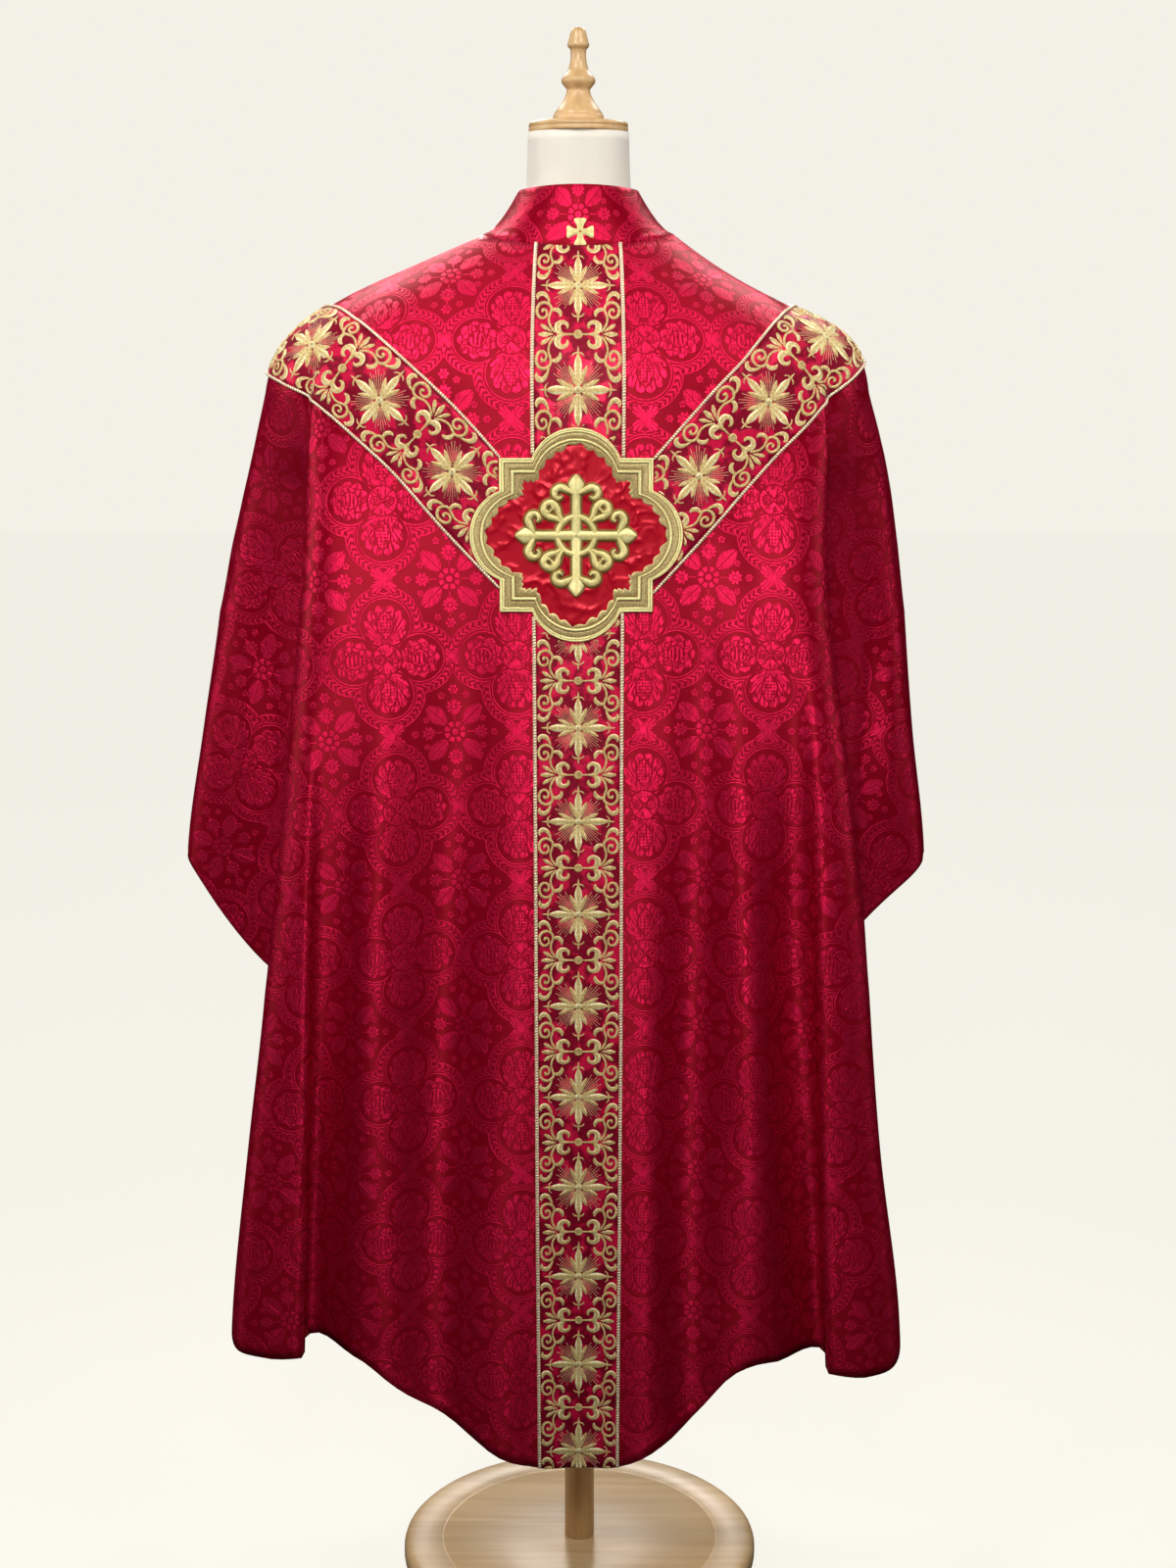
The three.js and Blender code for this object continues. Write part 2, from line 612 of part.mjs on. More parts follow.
// A piece turned on the lathe, from its radius at each height
function turned(profile, lift, steps) {
  const first = profile[0];
  const last = profile[profile.length - 1];
  const closed = [{ z: first.z, radius: 0 }, ...profile, { z: last.z, radius: 0 }];
  const points = closed.map(({ z, radius }) => new THREE.Vector2(radius, z + lift));
  return solidOf(new THREE.LatheGeometry(points, steps).rotateX(Math.PI / 2));
}

const group = new THREE.Group();

function addSolid(name, solid, look) {
  const made = solid.getMesh();
  const geometry = new THREE.BufferGeometry();
  geometry.setAttribute("position", new THREE.BufferAttribute(made.vertProperties, made.numProp));
  geometry.setIndex(new THREE.BufferAttribute(made.triVerts, 1));
  geometry.computeVertexNormals();
  const mesh = new THREE.Mesh(geometry, new THREE.MeshStandardMaterial(COLOURS[look]));
  mesh.name = name;
  group.add(mesh);
}

// The garment's two panels and what is sewn on each
const gap = CLOTH.seamGap;
for (const face of [-1, 1]) {
  const where = face < 0 ? "back" : "front";
  const rows = panelGrid(face);
  const normals = gridNormals(rows, -face, true);
  const layer = ({ from, to }) => wall(rows, normals, from, to, -face);
  addSolid(`${where}_panel`, wall(rows, normals, -CLOTH.wall, 0, -face), "damask");

  const bandLayer = layer(LAYERS.band);
  if (face < 0) {
    const top = rectangle(-BAND_HALF, MEDALLION.z + MEDALLION.bandLap, BAND_HALF, ABOVE_NECK);
    const bottom = rectangle(-BAND_HALF, 0, BAND_HALF, MEDALLION.z - MEDALLION.bandLap);
    addSolid("orphrey_back_upper", bandLayer.intersect(cutter(top, face)), "band");
    addSolid("orphrey_back_lower", bandLayer.intersect(cutter(bottom, face)), "band");
  } else {
    const whole = rectangle(-BAND_HALF, 0, BAND_HALF, ABOVE_NECK);
    addSolid("orphrey_front", bandLayer.intersect(cutter(whole, face)), "band");
  }

  const armStart = face < 0 ? BAND_HALF + gap : FRONT_ARM_START;
  const middle = cutter(rectangle(-armStart, 0, armStart, ABOVE_NECK), face);
  for (const hand of ["left", "right"]) {
    let arm = bandLayer.intersect(cutter(armOutline(hand), face)).subtract(middle);
    if (face < 0) arm = arm.subtract(cutter(quatrefoil(MEDALLION.border / 2), face));
    const bodies = arm.decompose().sort((a, b) => b.volume() - a.volume());
    addSolid(`orphrey_arm_${where}_${hand}`, bodies[0], "band");
  }

  if (face < 0) {
    const whole = cutter(quatrefoil(0), face);
    const field = cutter(quatrefoil(MEDALLION.border + gap), face);
    const opening = cutter(quatrefoil(MEDALLION.border), face);
    addSolid("medallion_border", layer(LAYERS.medallionBorder).intersect(whole).subtract(opening), "gold");
    addSolid("medallion_field", layer(LAYERS.medallionField).intersect(field), "satin");
    const { x, z } = MEDALLION;
    const { armHalf, reach, flare, flareDepth, ring, ringWidth } = ORNAMENT;
    const cross = cutter(flaredCross(x, z, armHalf, reach, flare, flareDepth), face);
    const hoopOutside = cutter(circleOutline(x, z, ring + ringWidth, HOOP_STEPS), face);
    const hoop = hoopOutside.subtract(cutter(circleOutline(x, z, ring, HOOP_STEPS), face));
    addSolid("medallion_ornament", layer(LAYERS.medallionOrnament).intersect(cross.add(hoop)), "gold");
  }
}

addSolid("collar", collarWall(-COLLAR_CUT.wall, 0), "damask");
const { waist, size, flare: crossFlare, flareDepth: crossFlareDepth } = NECK_CROSS;
const neckCross = cutter(flaredCross(NECK_CROSS.x, NECK_CROSS.z, waist, size, crossFlare, crossFlareDepth), -1);
const crossLayer = collarWall(LAYERS.neckCross.from, LAYERS.neckCross.to);
addSolid("neck_cross", crossLayer.intersect(neckCross), "gold");

// The dress form that wears it
addSolid("form_torso", torso(), "linen");
const capProfile = [
  { z: 0, radius: NECK_CAP.radius },
  { z: NECK_CAP.height - NECK_CAP.edge, radius: NECK_CAP.radius },
  { z: NECK_CAP.height, radius: NECK_CAP.radius - NECK_CAP.bevel },
];
const poleProfile = [
  { z: POLE.bottom, radius: POLE.radius },
  { z: POLE.top, radius: POLE.radius },
];
const baseProfile = [
  { z: 0, radius: BASE.radius },
  { z: BASE.height - BASE.edge, radius: BASE.radius },
  { z: BASE.height, radius: BASE.radius - BASE.edge },
];
const finialBottom = NECK_CAP.bottom + NECK_CAP.height + gap;
addSolid("form_neck_cap", turned(capProfile, NECK_CAP.bottom, LATHE_STEPS.cap), "wood");
addSolid("form_finial", turned(FINIAL_PROFILE, finialBottom, LATHE_STEPS.finial), "wood");
addSolid("form_pole", turned(poleProfile, 0, LATHE_STEPS.pole), "wood");
addSolid("form_base", turned(baseProfile, 0, LATHE_STEPS.base), "wood");

export default group;
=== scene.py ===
# Gothic chasuble of red damask with gold embroidered bands, worn by a limbless dress form.
# Lengths in the tables are millimetres, as the garment was measured; the scene itself is in metres.
import math

import bpy
import numpy as np
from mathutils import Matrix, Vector, noise
from mathutils.bvhtree import BVHTree


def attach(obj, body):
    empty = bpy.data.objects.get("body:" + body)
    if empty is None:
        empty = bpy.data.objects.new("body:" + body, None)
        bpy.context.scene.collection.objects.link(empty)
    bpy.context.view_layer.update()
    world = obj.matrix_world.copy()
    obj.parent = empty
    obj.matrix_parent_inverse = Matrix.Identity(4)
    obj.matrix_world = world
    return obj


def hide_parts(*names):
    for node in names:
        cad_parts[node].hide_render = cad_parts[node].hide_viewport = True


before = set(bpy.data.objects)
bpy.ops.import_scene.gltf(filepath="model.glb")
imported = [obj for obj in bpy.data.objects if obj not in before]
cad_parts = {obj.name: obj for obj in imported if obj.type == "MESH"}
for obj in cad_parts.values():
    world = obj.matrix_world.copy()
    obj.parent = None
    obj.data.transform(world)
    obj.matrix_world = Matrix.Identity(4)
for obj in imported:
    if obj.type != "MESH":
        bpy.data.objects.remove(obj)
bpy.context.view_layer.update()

MM = 0.001
PAPER = (0.90, 0.875, 0.80)
FLOOR_GLOW = 0.975

# The surface of the cloth
WALL = 1.6
SEAM_GAP = 0.3
FRONT_DEPTH = 0.88
NECKLINE = {"half": 101, "backY": 75, "frontY": 70, "backZ": 1494, "sideZ": 1508, "frontZ": 1440}
COLLAR = {"half": 63, "backY": 61, "frontY": 56, "backZ": 1557, "sideZ": 1553, "frontZ": 1490}
COLLAR_FLARE = 0.65
COLLAR_LIFT = 0.4
COLLAR_WALL = 2.0
HANG_Z = 1345
YOKE = {
    "centre": {"reachA": 0.41, "dropA": 46, "reachB": 0.97, "riseB": 50},
    "left": {"reachA": 0.64, "dropA": 66, "reachB": 0.947, "riseB": 82},
    "right": {"reachA": 0.64, "dropA": 104, "reachB": 0.947, "riseB": 95},
}
SECTION_COLUMNS = ("z", "sideLeft", "sideRight", "crestLeft", "crestRight", "crestY", "centreY", "fold")
SECTIONS = [
    (1345, 332, 308, 272, 240, 128, 148, 0),
    (1290, 347, 325, 271, 243, 139, 149, 0.3),
    (1240, 360, 336, 275, 248, 148, 150, 0.65),
    (1180, 375, 345, 282, 254, 154, 151, 0.9),
    (1110, 390, 354, 290, 261, 159, 153, 1),
    (980, 412, 366, 303, 279, 167, 157, 1),
    (850, 433, 382, 317, 296, 173, 163, 1),
    (724, 437, 384, 331, 307, 179, 170, 1),
    (550, 440, 386, 353, 322, 186, 181, 1),
    (376, 440, 386, 373, 345, 192, 192, 1),
    (200, 440, 386, 381, 352, 196, 201, 1),
]
CREST = {"round": 29, "inner": 0.34, "outer": 0.68, "underX": 0.9, "underY": 2.1}
VALLEY = {"left": 205, "right": 195, "y": 74, "slopeX": 0.6, "slopeY": 0.55}
SHOULDER_FOLD = {"inset": 13, "y": 27}
PLACE_ANGLES = (0, 13, 27, 40, 47, 52, 57, 68, 80, 90)
LAST_PLACE = len(PLACE_ANGLES) - 1
SQUARENESS = 2.8
HEM_COLUMNS = ("place", "backLeft", "backRight", "frontLeft", "frontRight")
HEM = [
    (0, 207, 207, 232, 232),
    (0.35, 208, 209, 234, 235),
    (0.7, 225, 230, 250, 252),
    (1, 254, 258, 277, 278),
    (1.4, 289, 316, 312, 326),
    (1.8, 328, 326, 346, 344),
    (2.2, 342, 325, 356, 348),
    (2.5, 333, 314, 349, 340),
    (3, 331, 310, 347, 337),
    (4, 356, 340, 373, 361),
    (5, 470, 455, 490, 480),
    (6, 630, 640, 640, 650),
    (7, 724, 768, 730, 772),
    (8, 826, 826, 826, 828),
    (9, 846, 842, 846, 842),
]
FLUTE_COLUMNS = ("topX", "hemX", "inner", "outer", "out", "from", "lean")
FLUTES = [
    (-250, -303, 62, 22, -48, 1180, 24),
    (-196, -206, 34, 34, 6, 1000, 0),
    (-146, -150, 36, 36, -9, 1050, 0),
    (-82, -82, 40, 40, 9, 1050, 0),
    (0, 0, 46, 46, -4, 900, 0),
    (72, 72, 38, 38, 8, 1050, 0),
    (122, 122, 30, 30, -9, 1050, 0),
    (164, 176, 34, 34, 7, 1000, 0),
    (215, 271, 60, 22, -45, 1180, 20),
]
LEAN_FADE = 48
HEM_LEVEL = 207
FLUTES_END = 4
TUCK = {"place": 5.3, "half": 1.3, "depth": 8, "start": 0.35, "full": 0.8}

# How finely the cloth is cut: places to each hand, rows of the yoke and rows that hang
COLUMNS_A_HAND = 96
YOKE_ROWS = 34
HANG_ROWS = 92
COLLAR_ROWS = 14
COLLAR_QUARTER = 24

# Bands: half width, and the edges of the ones that cross the shoulders (X outwards and Z, lower then upper)
BAND_HALF = 44.5
ARMS = {
    "left": [
        (62, 1133, 40, 1240),
        (121, 1196, 78, 1279),
        (170, 1252, 100, 1304),
        (196, 1278, 133, 1340),
        (230, 1307, 164, 1369),
        (261, 1333, 193, 1393),
    ],
    "right": [
        (66, 1136, 40, 1240),
        (100, 1172, 81, 1286),
        (154, 1231, 100, 1310),
        (196, 1278, 136, 1350),
        (224, 1308, 173, 1384),
        (240, 1333, 205, 1411),
    ],
}
MEDALLION = {"x": -2, "z": 1205, "square": 78, "lobeAt": 60, "lobe": 48.5, "border": 25, "bandLap": 70}
NECK_CROSS = {"x": 2, "z": 1508.6}

# The dress form: height, half width and half depth of each ring
TORSO = [
    (700, 120, 78),
    (712, 148, 96),
    (745, 164, 106),
    (850, 171, 112),
    (950, 158, 104),
    (1050, 143, 94),
    (1150, 156, 98),
    (1250, 180, 106),
    (1330, 203, 104),
    (1385, 224, 88),
    (1412, 232, 70),
    (1430, 223, 57),
    (1443, 201, 50),
    (1456, 169, 45),
    (1470, 136, 43),
    (1484, 108, 42),
    (1498, 86, 42),
    (1514, 67, 45),
    (1535, 57, 49),
    (1575, 54, 49),
    (1612, 53, 49),
]
TORSO_SQUARENESS = 2.25
TORSO_STEPS = 72
TORSO_RINGS = 4


def mix(a, b, share):
    return a + (b - a) * share


def clamp(value, low=0.0, high=1.0):
    return min(max(value, low), high)


def smooth_step(share):
    u = clamp(share)
    return u * u * (3 - 2 * u)


def bump(away):
    return math.cos(away * math.pi / 2) ** 2 if abs(away) < 1 else 0.0


def through(values, place):
    """A smooth curve through values that stand at whole numbers."""
    last = len(values) - 1
    at = clamp(place, 0, last)
    i = min(int(at), last - 1)
    u = at - i
    p1, p2 = values[i], values[i + 1]
    p0 = values[i - 1] if i > 0 else 2 * p1 - p2
    p3 = values[i + 2] if i + 2 <= last else 2 * p2 - p1
    a, b, c, d = 2 * p1, p2 - p0, 2 * p0 - 5 * p1 + 4 * p2 - p3, 3 * p1 - p0 - 3 * p2 + p3
    return (a + b * u + c * u * u + d * u * u * u) / 2


def row_at(table, columns, value):
    """The row of a table at a value of its first column."""
    last = len(table) - 1
    rising = 1 if table[last][0] > table[0][0] else -1
    i = 0
    while i < last - 1 and (value - table[i + 1][0]) * rising > 0:
        i += 1
    share = clamp((value - table[i][0]) / (table[i + 1][0] - table[i][0]))
    return {name: through([row[k] for row in table], i + share) for k, name in enumerate(columns)}


def quarter_places(row, hand):
    """The places round one quarter of the cloth at a height, outwards and from the shoulder plane."""
    side = row["sideLeft" if hand == "left" else "sideRight"]
    crest = row["crestLeft" if hand == "left" else "crestRight"]
    valley, r = VALLEY[hand], CREST["round"]
    folded = [
        (0, row["centreY"]),
        (CREST["inner"] * crest, row["centreY"]),
        (CREST["outer"] * crest, (row["centreY"] + row["crestY"]) / 2),
        (crest - r, row["crestY"]),
        (crest, row["crestY"] - r),
        (crest - CREST["underX"] * r, row["crestY"] - CREST["underY"] * r),
        (valley, VALLEY["y"]),
        (mix(valley, side, VALLEY["slopeX"]), VALLEY["slopeY"] * VALLEY["y"]),
        (side - SHOULDER_FOLD["inset"], SHOULDER_FOLD["y"]),
        (side, 0),
    ]
    power = 2 / SQUARENESS
    places = []
    for (x, y), degrees in zip(folded, PLACE_ANGLES):
        angle = math.radians(degrees)
        open_x = side * math.sin(angle) ** power
        open_y = row["centreY"] * max(math.cos(angle), 0) ** power
        places.append((mix(open_x, x, row["fold"]), mix(open_y, y, row["fold"])))
    return places


def flute_shift(x, z):
    """How far the flutes move a point outwards, and how far the crests lean inwards there."""
    depth = lean = 0.0
    for values in FLUTES:
        flute = dict(zip(FLUTE_COLUMNS, values))
        share = (flute["from"] - z) / (flute["from"] - HEM_LEVEL)
        if share <= 0:
            continue
        offset = (x - mix(flute["topX"], flute["hemX"], share)) * (-1 if flute["hemX"] < 0 else 1)
        grown = smooth_step(share)
        depth += flute["out"] * grown * bump(offset / flute["outer" if offset > 0 else "inner"])
        beyond = offset - flute["outer"]
        lean += flute["lean"] * grown * bump(beyond / (LEAN_FADE if beyond > 0 else flute["outer"]))
    return depth, lean


def tucked(point, place, share):
    pull = TUCK["depth"] * share * bump((place - TUCK["place"]) / TUCK["half"])
    reach = math.hypot(point[0], point[1])
    point[0] -= pull * point[0] / reach
    point[1] -= pull * point[1] / reach
    return point


def hang_point(face, hand, place, z, tuck_share=None):
    row = row_at(SECTIONS, SECTION_COLUMNS, z)
    places = quarter_places(row, hand)
    outward = -1 if hand == "left" else 1
    x = through([p[0] for p in places], place) * outward
    depth, lean = flute_shift(x, z)
    held = smooth_step(FLUTES_END - place)
    y = (through([p[1] for p in places], place) + depth * held) * face * (FRONT_DEPTH if face > 0 else 1)
    share = 1 - row["fold"] if tuck_share is None else tuck_share
    return tucked([x - lean * held * outward, y, z], place, share)


def rim_point(rim, face, hand, angle):
    outward = -1 if hand == "left" else 1
    low = rim["backZ"] if face < 0 else rim["frontZ"]
    return [
        outward * rim["half"] * math.sin(angle),
        face * (rim["backY"] if face < 0 else rim["frontY"]) * math.cos(angle),
        mix(low, rim["sideZ"], math.sin(angle) ** 2),
    ]


def yoke_point(face, hand, place, share, foot):
    angle = math.radians(through(PLACE_ANGLES, place))
    top = rim_point(NECKLINE, face, hand, angle)
    toward = math.sin(angle) ** 2
    centre, shoulder = YOKE["centre"], YOKE[hand]
    bend = {key: mix(centre[key], shoulder[key], toward) for key in centre}
    a = [mix(top[k], foot[k], bend["reachA"]) for k in range(2)] + [top[2] - bend["dropA"]]
    b = [mix(top[k], foot[k], bend["reachB"]) for k in range(2)] + [foot[2] + bend["riseB"]]
    u, v = share, 1 - share
    point = [
        v ** 3 * top[k] + 3 * v * v * u * a[k] + 3 * v * u * u * b[k] + u ** 3 * foot[k] for k in range(3)
    ]
    return tucked(point, place, smooth_step((share - TUCK["start"]) / (TUCK["full"] - TUCK["start"])))


# Creases of the cloth: face, X and Z of the two ends, depth in (or out, when negative) and half width
CREASES = [
    (-1, -118, 1170, -164, 225, 18.0, 35),
    (-1, 127, 1150, 108, 225, 16.0, 27),
    (-1, 221, 1140, 230, 430, 8.0, 17),
    (-1, -66, 1100, -54, 380, -4.5, 18),
    (-1, -194, 1140, -232, 480, -6.5, 21),
    (-1, 152, 1120, 200, 300, -7.5, 19),
    (-1, -318, 1150, -330, 800, 5.0, 13),
    (-1, -352, 1120, -374, 820, -4.0, 12),
    (-1, 312, 1130, 300, 830, 4.5, 12),
    (-1, 338, 1120, 340, 860, -3.5, 10),
    (1, -132, 1160, -158, 240, 9.0, 31),
    (1, 126, 1140, 148, 240, 9.0, 30),
    (1, -78, 1060, -90, 310, -4.0, 24),
    (1, 74, 1040, 84, 310, -4.0, 24),
    (-1, 208, 1492, 226, 1404, 2.6, 6),
    (-1, 226, 1404, 246, 1330, 2.2, 8),
    (-1, -238, 1494, -262, 1420, 2.6, 6),
    (-1, -262, 1420, -280, 1340, 2.0, 8),
    (-1, -150, 1330, -205, 1180, 2.4, 16),
    (-1, 140, 1300, 205, 1120, 2.4, 16),
    (-1, -96, 1120, -118, 900, 2.0, 14),
    (-1, 92, 1080, 120, 860, -1.8, 16),
    (-1, 60, 1110, 84, 960, 1.6, 10),
    (-1, -230, 960, -262, 640, 2.4, 14),
    (-1, 205, 930, 240, 600, 2.6, 14),
    (-1, -60, 560, -84, 300, 1.8, 12),
    (-1, 96, 620, 74, 330, -1.6, 14),
    (-1, 330, 1250, 352, 1010, 2.0, 10),
    (-1, -360, 1260, -398, 1000, 2.2, 10),
    (1, 205, 1490, 228, 1400, 2.6, 6),
    (1, -236, 1492, -262, 1418, 2.4, 6),
    (1, -120, 1260, -190, 1100, 2.4, 16),
    (1, 130, 1280, 196, 1120, 2.6, 16),
    (1, -90, 1040, -112, 800, 2.2, 14),
    (1, 84, 1060, 110, 840, 1.8, 13),
    (1, 214, 900, 236, 600, 2.4, 14),
    (1, -224, 940, -256, 640, 2.2, 14),
    (1, -70, 560, -82, 320, -1.8, 12),
]

# How far a crease runs on past its two ends, as a share of its length, and how many half widths it reaches
CREASE_FADE = {"past": 0.15, "widths": 2.5}


def crease_depth(face, x, z):
    total = 0.0
    run_out = CREASE_FADE["past"]
    for side, x0, z0, x1, z1, depth, half in CREASES:
        if side != face:
            continue
        dx, dz = x1 - x0, z1 - z0
        length = dx * dx + dz * dz
        along = ((x - x0) * dx + (z - z0) * dz) / length
        if not -run_out < along < 1 + run_out:
            continue
        off = abs((x - x0) * dz - (z - z0) * dx) / math.sqrt(length)
        if off < CREASE_FADE["widths"] * half:
            total += depth * bump((along - 0.5) / (0.5 + run_out)) * math.exp(-((off / half) ** 2))
    return total


def grid_tree(points):
    """A search tree over a grid of points, with two triangles to a cell."""
    height, width = points.shape[:2]
    faces = []
    for j in range(height - 1):
        for i in range(width - 1):
            a = j * width + i
            faces += [(a, a + 1, a + width + 1), (a, a + width + 1, a + width)]
    return BVHTree.FromPolygons([Vector(p) for p in points.reshape(-1, 3)], faces, all_triangles=True)


def grid_place(flat, index, spot):
    """The grid column and row of a spot that lies in a triangle of a grid of flat points."""
    cell, upper = index // 2, index % 2 == 0
    j, i = divmod(cell, flat.shape[1] - 1)
    a = flat[j, i]
    b = flat[j, i + 1] if upper else flat[j + 1, i + 1]
    c = flat[j + 1, i + 1] if upper else flat[j + 1, i]
    s, t = np.linalg.solve(np.array([b - a, c - a]).T, spot - a)
    return (i + s + t, j + t) if upper else (i + s, j + s + t)


def grid_blend(i, j, *grids):
    """What each grid holds at a column and row between its points."""
    rows, columns = grids[0].shape[:2]
    i, j = clamp(i, 0, columns - 1), clamp(j, 0, rows - 1)
    i0, j0 = min(int(i), columns - 2), min(int(j), rows - 2)
    s, t = i - i0, j - j0
    weights = ((j0, i0, (1 - s) * (1 - t)), (j0, i0 + 1, s * (1 - t)),
               (j0 + 1, i0, (1 - s) * t), (j0 + 1, i0 + 1, s * t))
    return [sum(grid[r, c] * w for r, c, w in weights) for grid in grids]


RAY_START = 1000


def lengths_along(points):
    """How far each point of a line is from its first one, measured along it."""
    return np.concatenate([[0], np.cumsum(np.linalg.norm(np.diff(points, axis=0), axis=1))])


class Surface:
    """An outer surface as a grid of points and normals in millimetres: rows run down, columns right."""

    def __init__(self, points, face):
        self.face = face
        self.points = np.array(points, float)
        self.seen = self.points[:, :, (0, 2)]
        self.find_normals()
        self.tree = grid_tree(self.points)

    def find_normals(self):
        p = self.points
        along = np.empty_like(p)
        along[:, 1:-1] = p[:, 2:] - p[:, :-2]
        along[:, 0], along[:, -1] = p[:, 1] - p[:, 0], p[:, -1] - p[:, -2]
        down = np.empty_like(p)
        down[1:-1] = p[2:] - p[:-2]
        down[0], down[-1] = p[1] - p[0], p[-1] - p[-2]
        normals = np.cross(down, along) * -self.face
        normals[:, 0, 1] = normals[:, -1, 1] = 0
        self.normals = normals / np.linalg.norm(normals, axis=2, keepdims=True)

    def place_of(self, x, z):
        """The grid column and row of the point that is seen at X and Z, or nothing where the cloth ends."""
        start = Vector((x, self.face * RAY_START, z))
        hit, _, index, _ = self.tree.ray_cast(start, Vector((0, -self.face, 0)))
        return None if hit is None else grid_place(self.seen, index, np.array([x, z]))

    def at(self, i, j, height):
        """The point at a grid column and row, moved out by height."""
        point, normal = grid_blend(i, j, self.points, self.normals)
        return point + normal * (height / np.linalg.norm(normal))

    def seen_at(self, x, z, height):
        """The point seen at X and Z, moved out by height."""
        place = self.place_of(x, z)
        return None if place is None else self.at(*place, height)


class Cloth(Surface):
    """One panel of the garment."""

    def __init__(self, face):
        half = [LAST_PLACE * i / COLUMNS_A_HAND for i in range(COLUMNS_A_HAND + 1)]
        columns = [("left", p) for p in reversed(half[1:])] + [("right", p) for p in half]
        rows = [[] for _ in range(YOKE_ROWS + HANG_ROWS + 1)]
        for hand, place in columns:
            foot = hang_point(face, hand, place, HANG_Z, 0)
            column = ("back" if face < 0 else "front") + hand.capitalize()
            hem = row_at(HEM, HEM_COLUMNS, place)[column]
            for j in range(YOKE_ROWS):
                rows[j].append(yoke_point(face, hand, place, j / YOKE_ROWS, foot))
            for j in range(HANG_ROWS + 1):
                rows[YOKE_ROWS + j].append(hang_point(face, hand, place, mix(HANG_Z, hem, j / HANG_ROWS)))
        points = np.array(rows)
        points[:, 0, 1] = points[:, -1, 1] = face * SEAM_GAP / 2
        self.middle = COLUMNS_A_HAND
        self.face = face
        self.points = points
        self.find_normals()
        moved = np.zeros(points.shape[:2])
        for j in range(1, len(rows) - 1):
            for i in range(1, len(columns) - 1):
                x, _, z = points[j, i]
                moved[j, i] = -crease_depth(face, x, z)
        super().__init__(points + self.normals * moved[:, :, None], face)


class Collar(Surface):
    """The standing collar, from its edge down to the seam, round from the front by the left to the front."""

    def __init__(self):
        quarters = [(1, "left", 0, 1), (-1, "left", 1, 0), (-1, "right", 0, 1), (1, "right", 1, 0)]
        rows = []
        for j in range(COLLAR_ROWS + 1):
            share = 1 - j / COLLAR_ROWS
            inward = share ** COLLAR_FLARE
            ring = []
            for quarter, (face, hand, start, stop) in enumerate(quarters):
                for i in range(COLLAR_QUARTER + (quarter == 3)):
                    angle = mix(start, stop, i / COLLAR_QUARTER) * math.pi / 2
                    low = rim_point(NECKLINE, face, hand, angle)
                    high = rim_point(COLLAR, face, hand, angle)
                    height = mix(low[2] + COLLAR_LIFT, high[2], share)
                    ring.append([mix(low[0], high[0], inward), mix(low[1], high[1], inward), height])
            rows.append(ring)
        super().__init__(rows, -1)

    def find_normals(self):
        super().find_normals()
        p = self.points
        across = p[:, 1] - p[:, -2]
        down = np.gradient(p[:, 0], axis=0)
        seam = np.cross(down, across) * -self.face
        self.normals[:, 0] = self.normals[:, -1] = seam / np.linalg.norm(seam, axis=1, keepdims=True)


def linked(name, data):
    """A new object in the scene."""
    obj = bpy.data.objects.new(name, data)
    bpy.context.scene.collection.objects.link(obj)
    return obj


def mesh_of(name, points, faces):
    """A mesh in metres from points in millimetres."""
    mesh = bpy.data.meshes.new(name)
    mesh.from_pydata([tuple(float(c) * MM for c in p) for p in points], [], faces)
    mesh.uv_layers.new(name="cloth")
    return mesh


def corner_points(mesh):
    """The point that each corner of each face stands on."""
    corner = np.zeros(len(mesh.loops), np.int32)
    mesh.loops.foreach_get("vertex_index", corner)
    return corner


def add_mesh(name, points, faces, uvs, material):
    """An object from points and from UVs of each point, all in millimetres."""
    mesh = mesh_of(name, points, faces)
    flat = np.array(uvs, float)[corner_points(mesh)] * MM
    mesh.uv_layers["cloth"].data.foreach_set("uv", flat.ravel())
    mesh.polygons.foreach_set("use_smooth", [True] * len(mesh.polygons))
    mesh.materials.append(material)
    mesh.update()
    return linked(name, mesh)


def shell(outer, inner, uv, flip):
    """Points, faces and UVs of a wall between two grids of points."""
    height, width = outer.shape[:2]
    points = np.concatenate([outer.reshape(-1, 3), inner.reshape(-1, 3)])
    uvs = np.concatenate([uv.reshape(-1, 2), uv.reshape(-1, 2)])
    low, right = height - 1, width - 1
    faces = []

    def quad(*corners):
        a, b, c, d = [(layer * height + j) * width + i for layer, j, i in corners]
        faces.append((a, d, c, b) if flip else (a, b, c, d))

    for j in range(low):
        for i in range(right):
            quad((0, j, i), (0, j, i + 1), (0, j + 1, i + 1), (0, j + 1, i))
            quad((1, j, i), (1, j + 1, i), (1, j + 1, i + 1), (1, j, i + 1))
    for i in range(right):
        quad((0, 0, i), (1, 0, i), (1, 0, i + 1), (0, 0, i + 1))
        quad((0, low, i), (0, low, i + 1), (1, low, i + 1), (1, low, i))
    for j in range(low):
        quad((0, j, 0), (0, j + 1, 0), (1, j + 1, 0), (1, j, 0))
        quad((0, j, right), (1, j, right), (1, j + 1, right), (0, j + 1, right))
    return points, faces, uvs


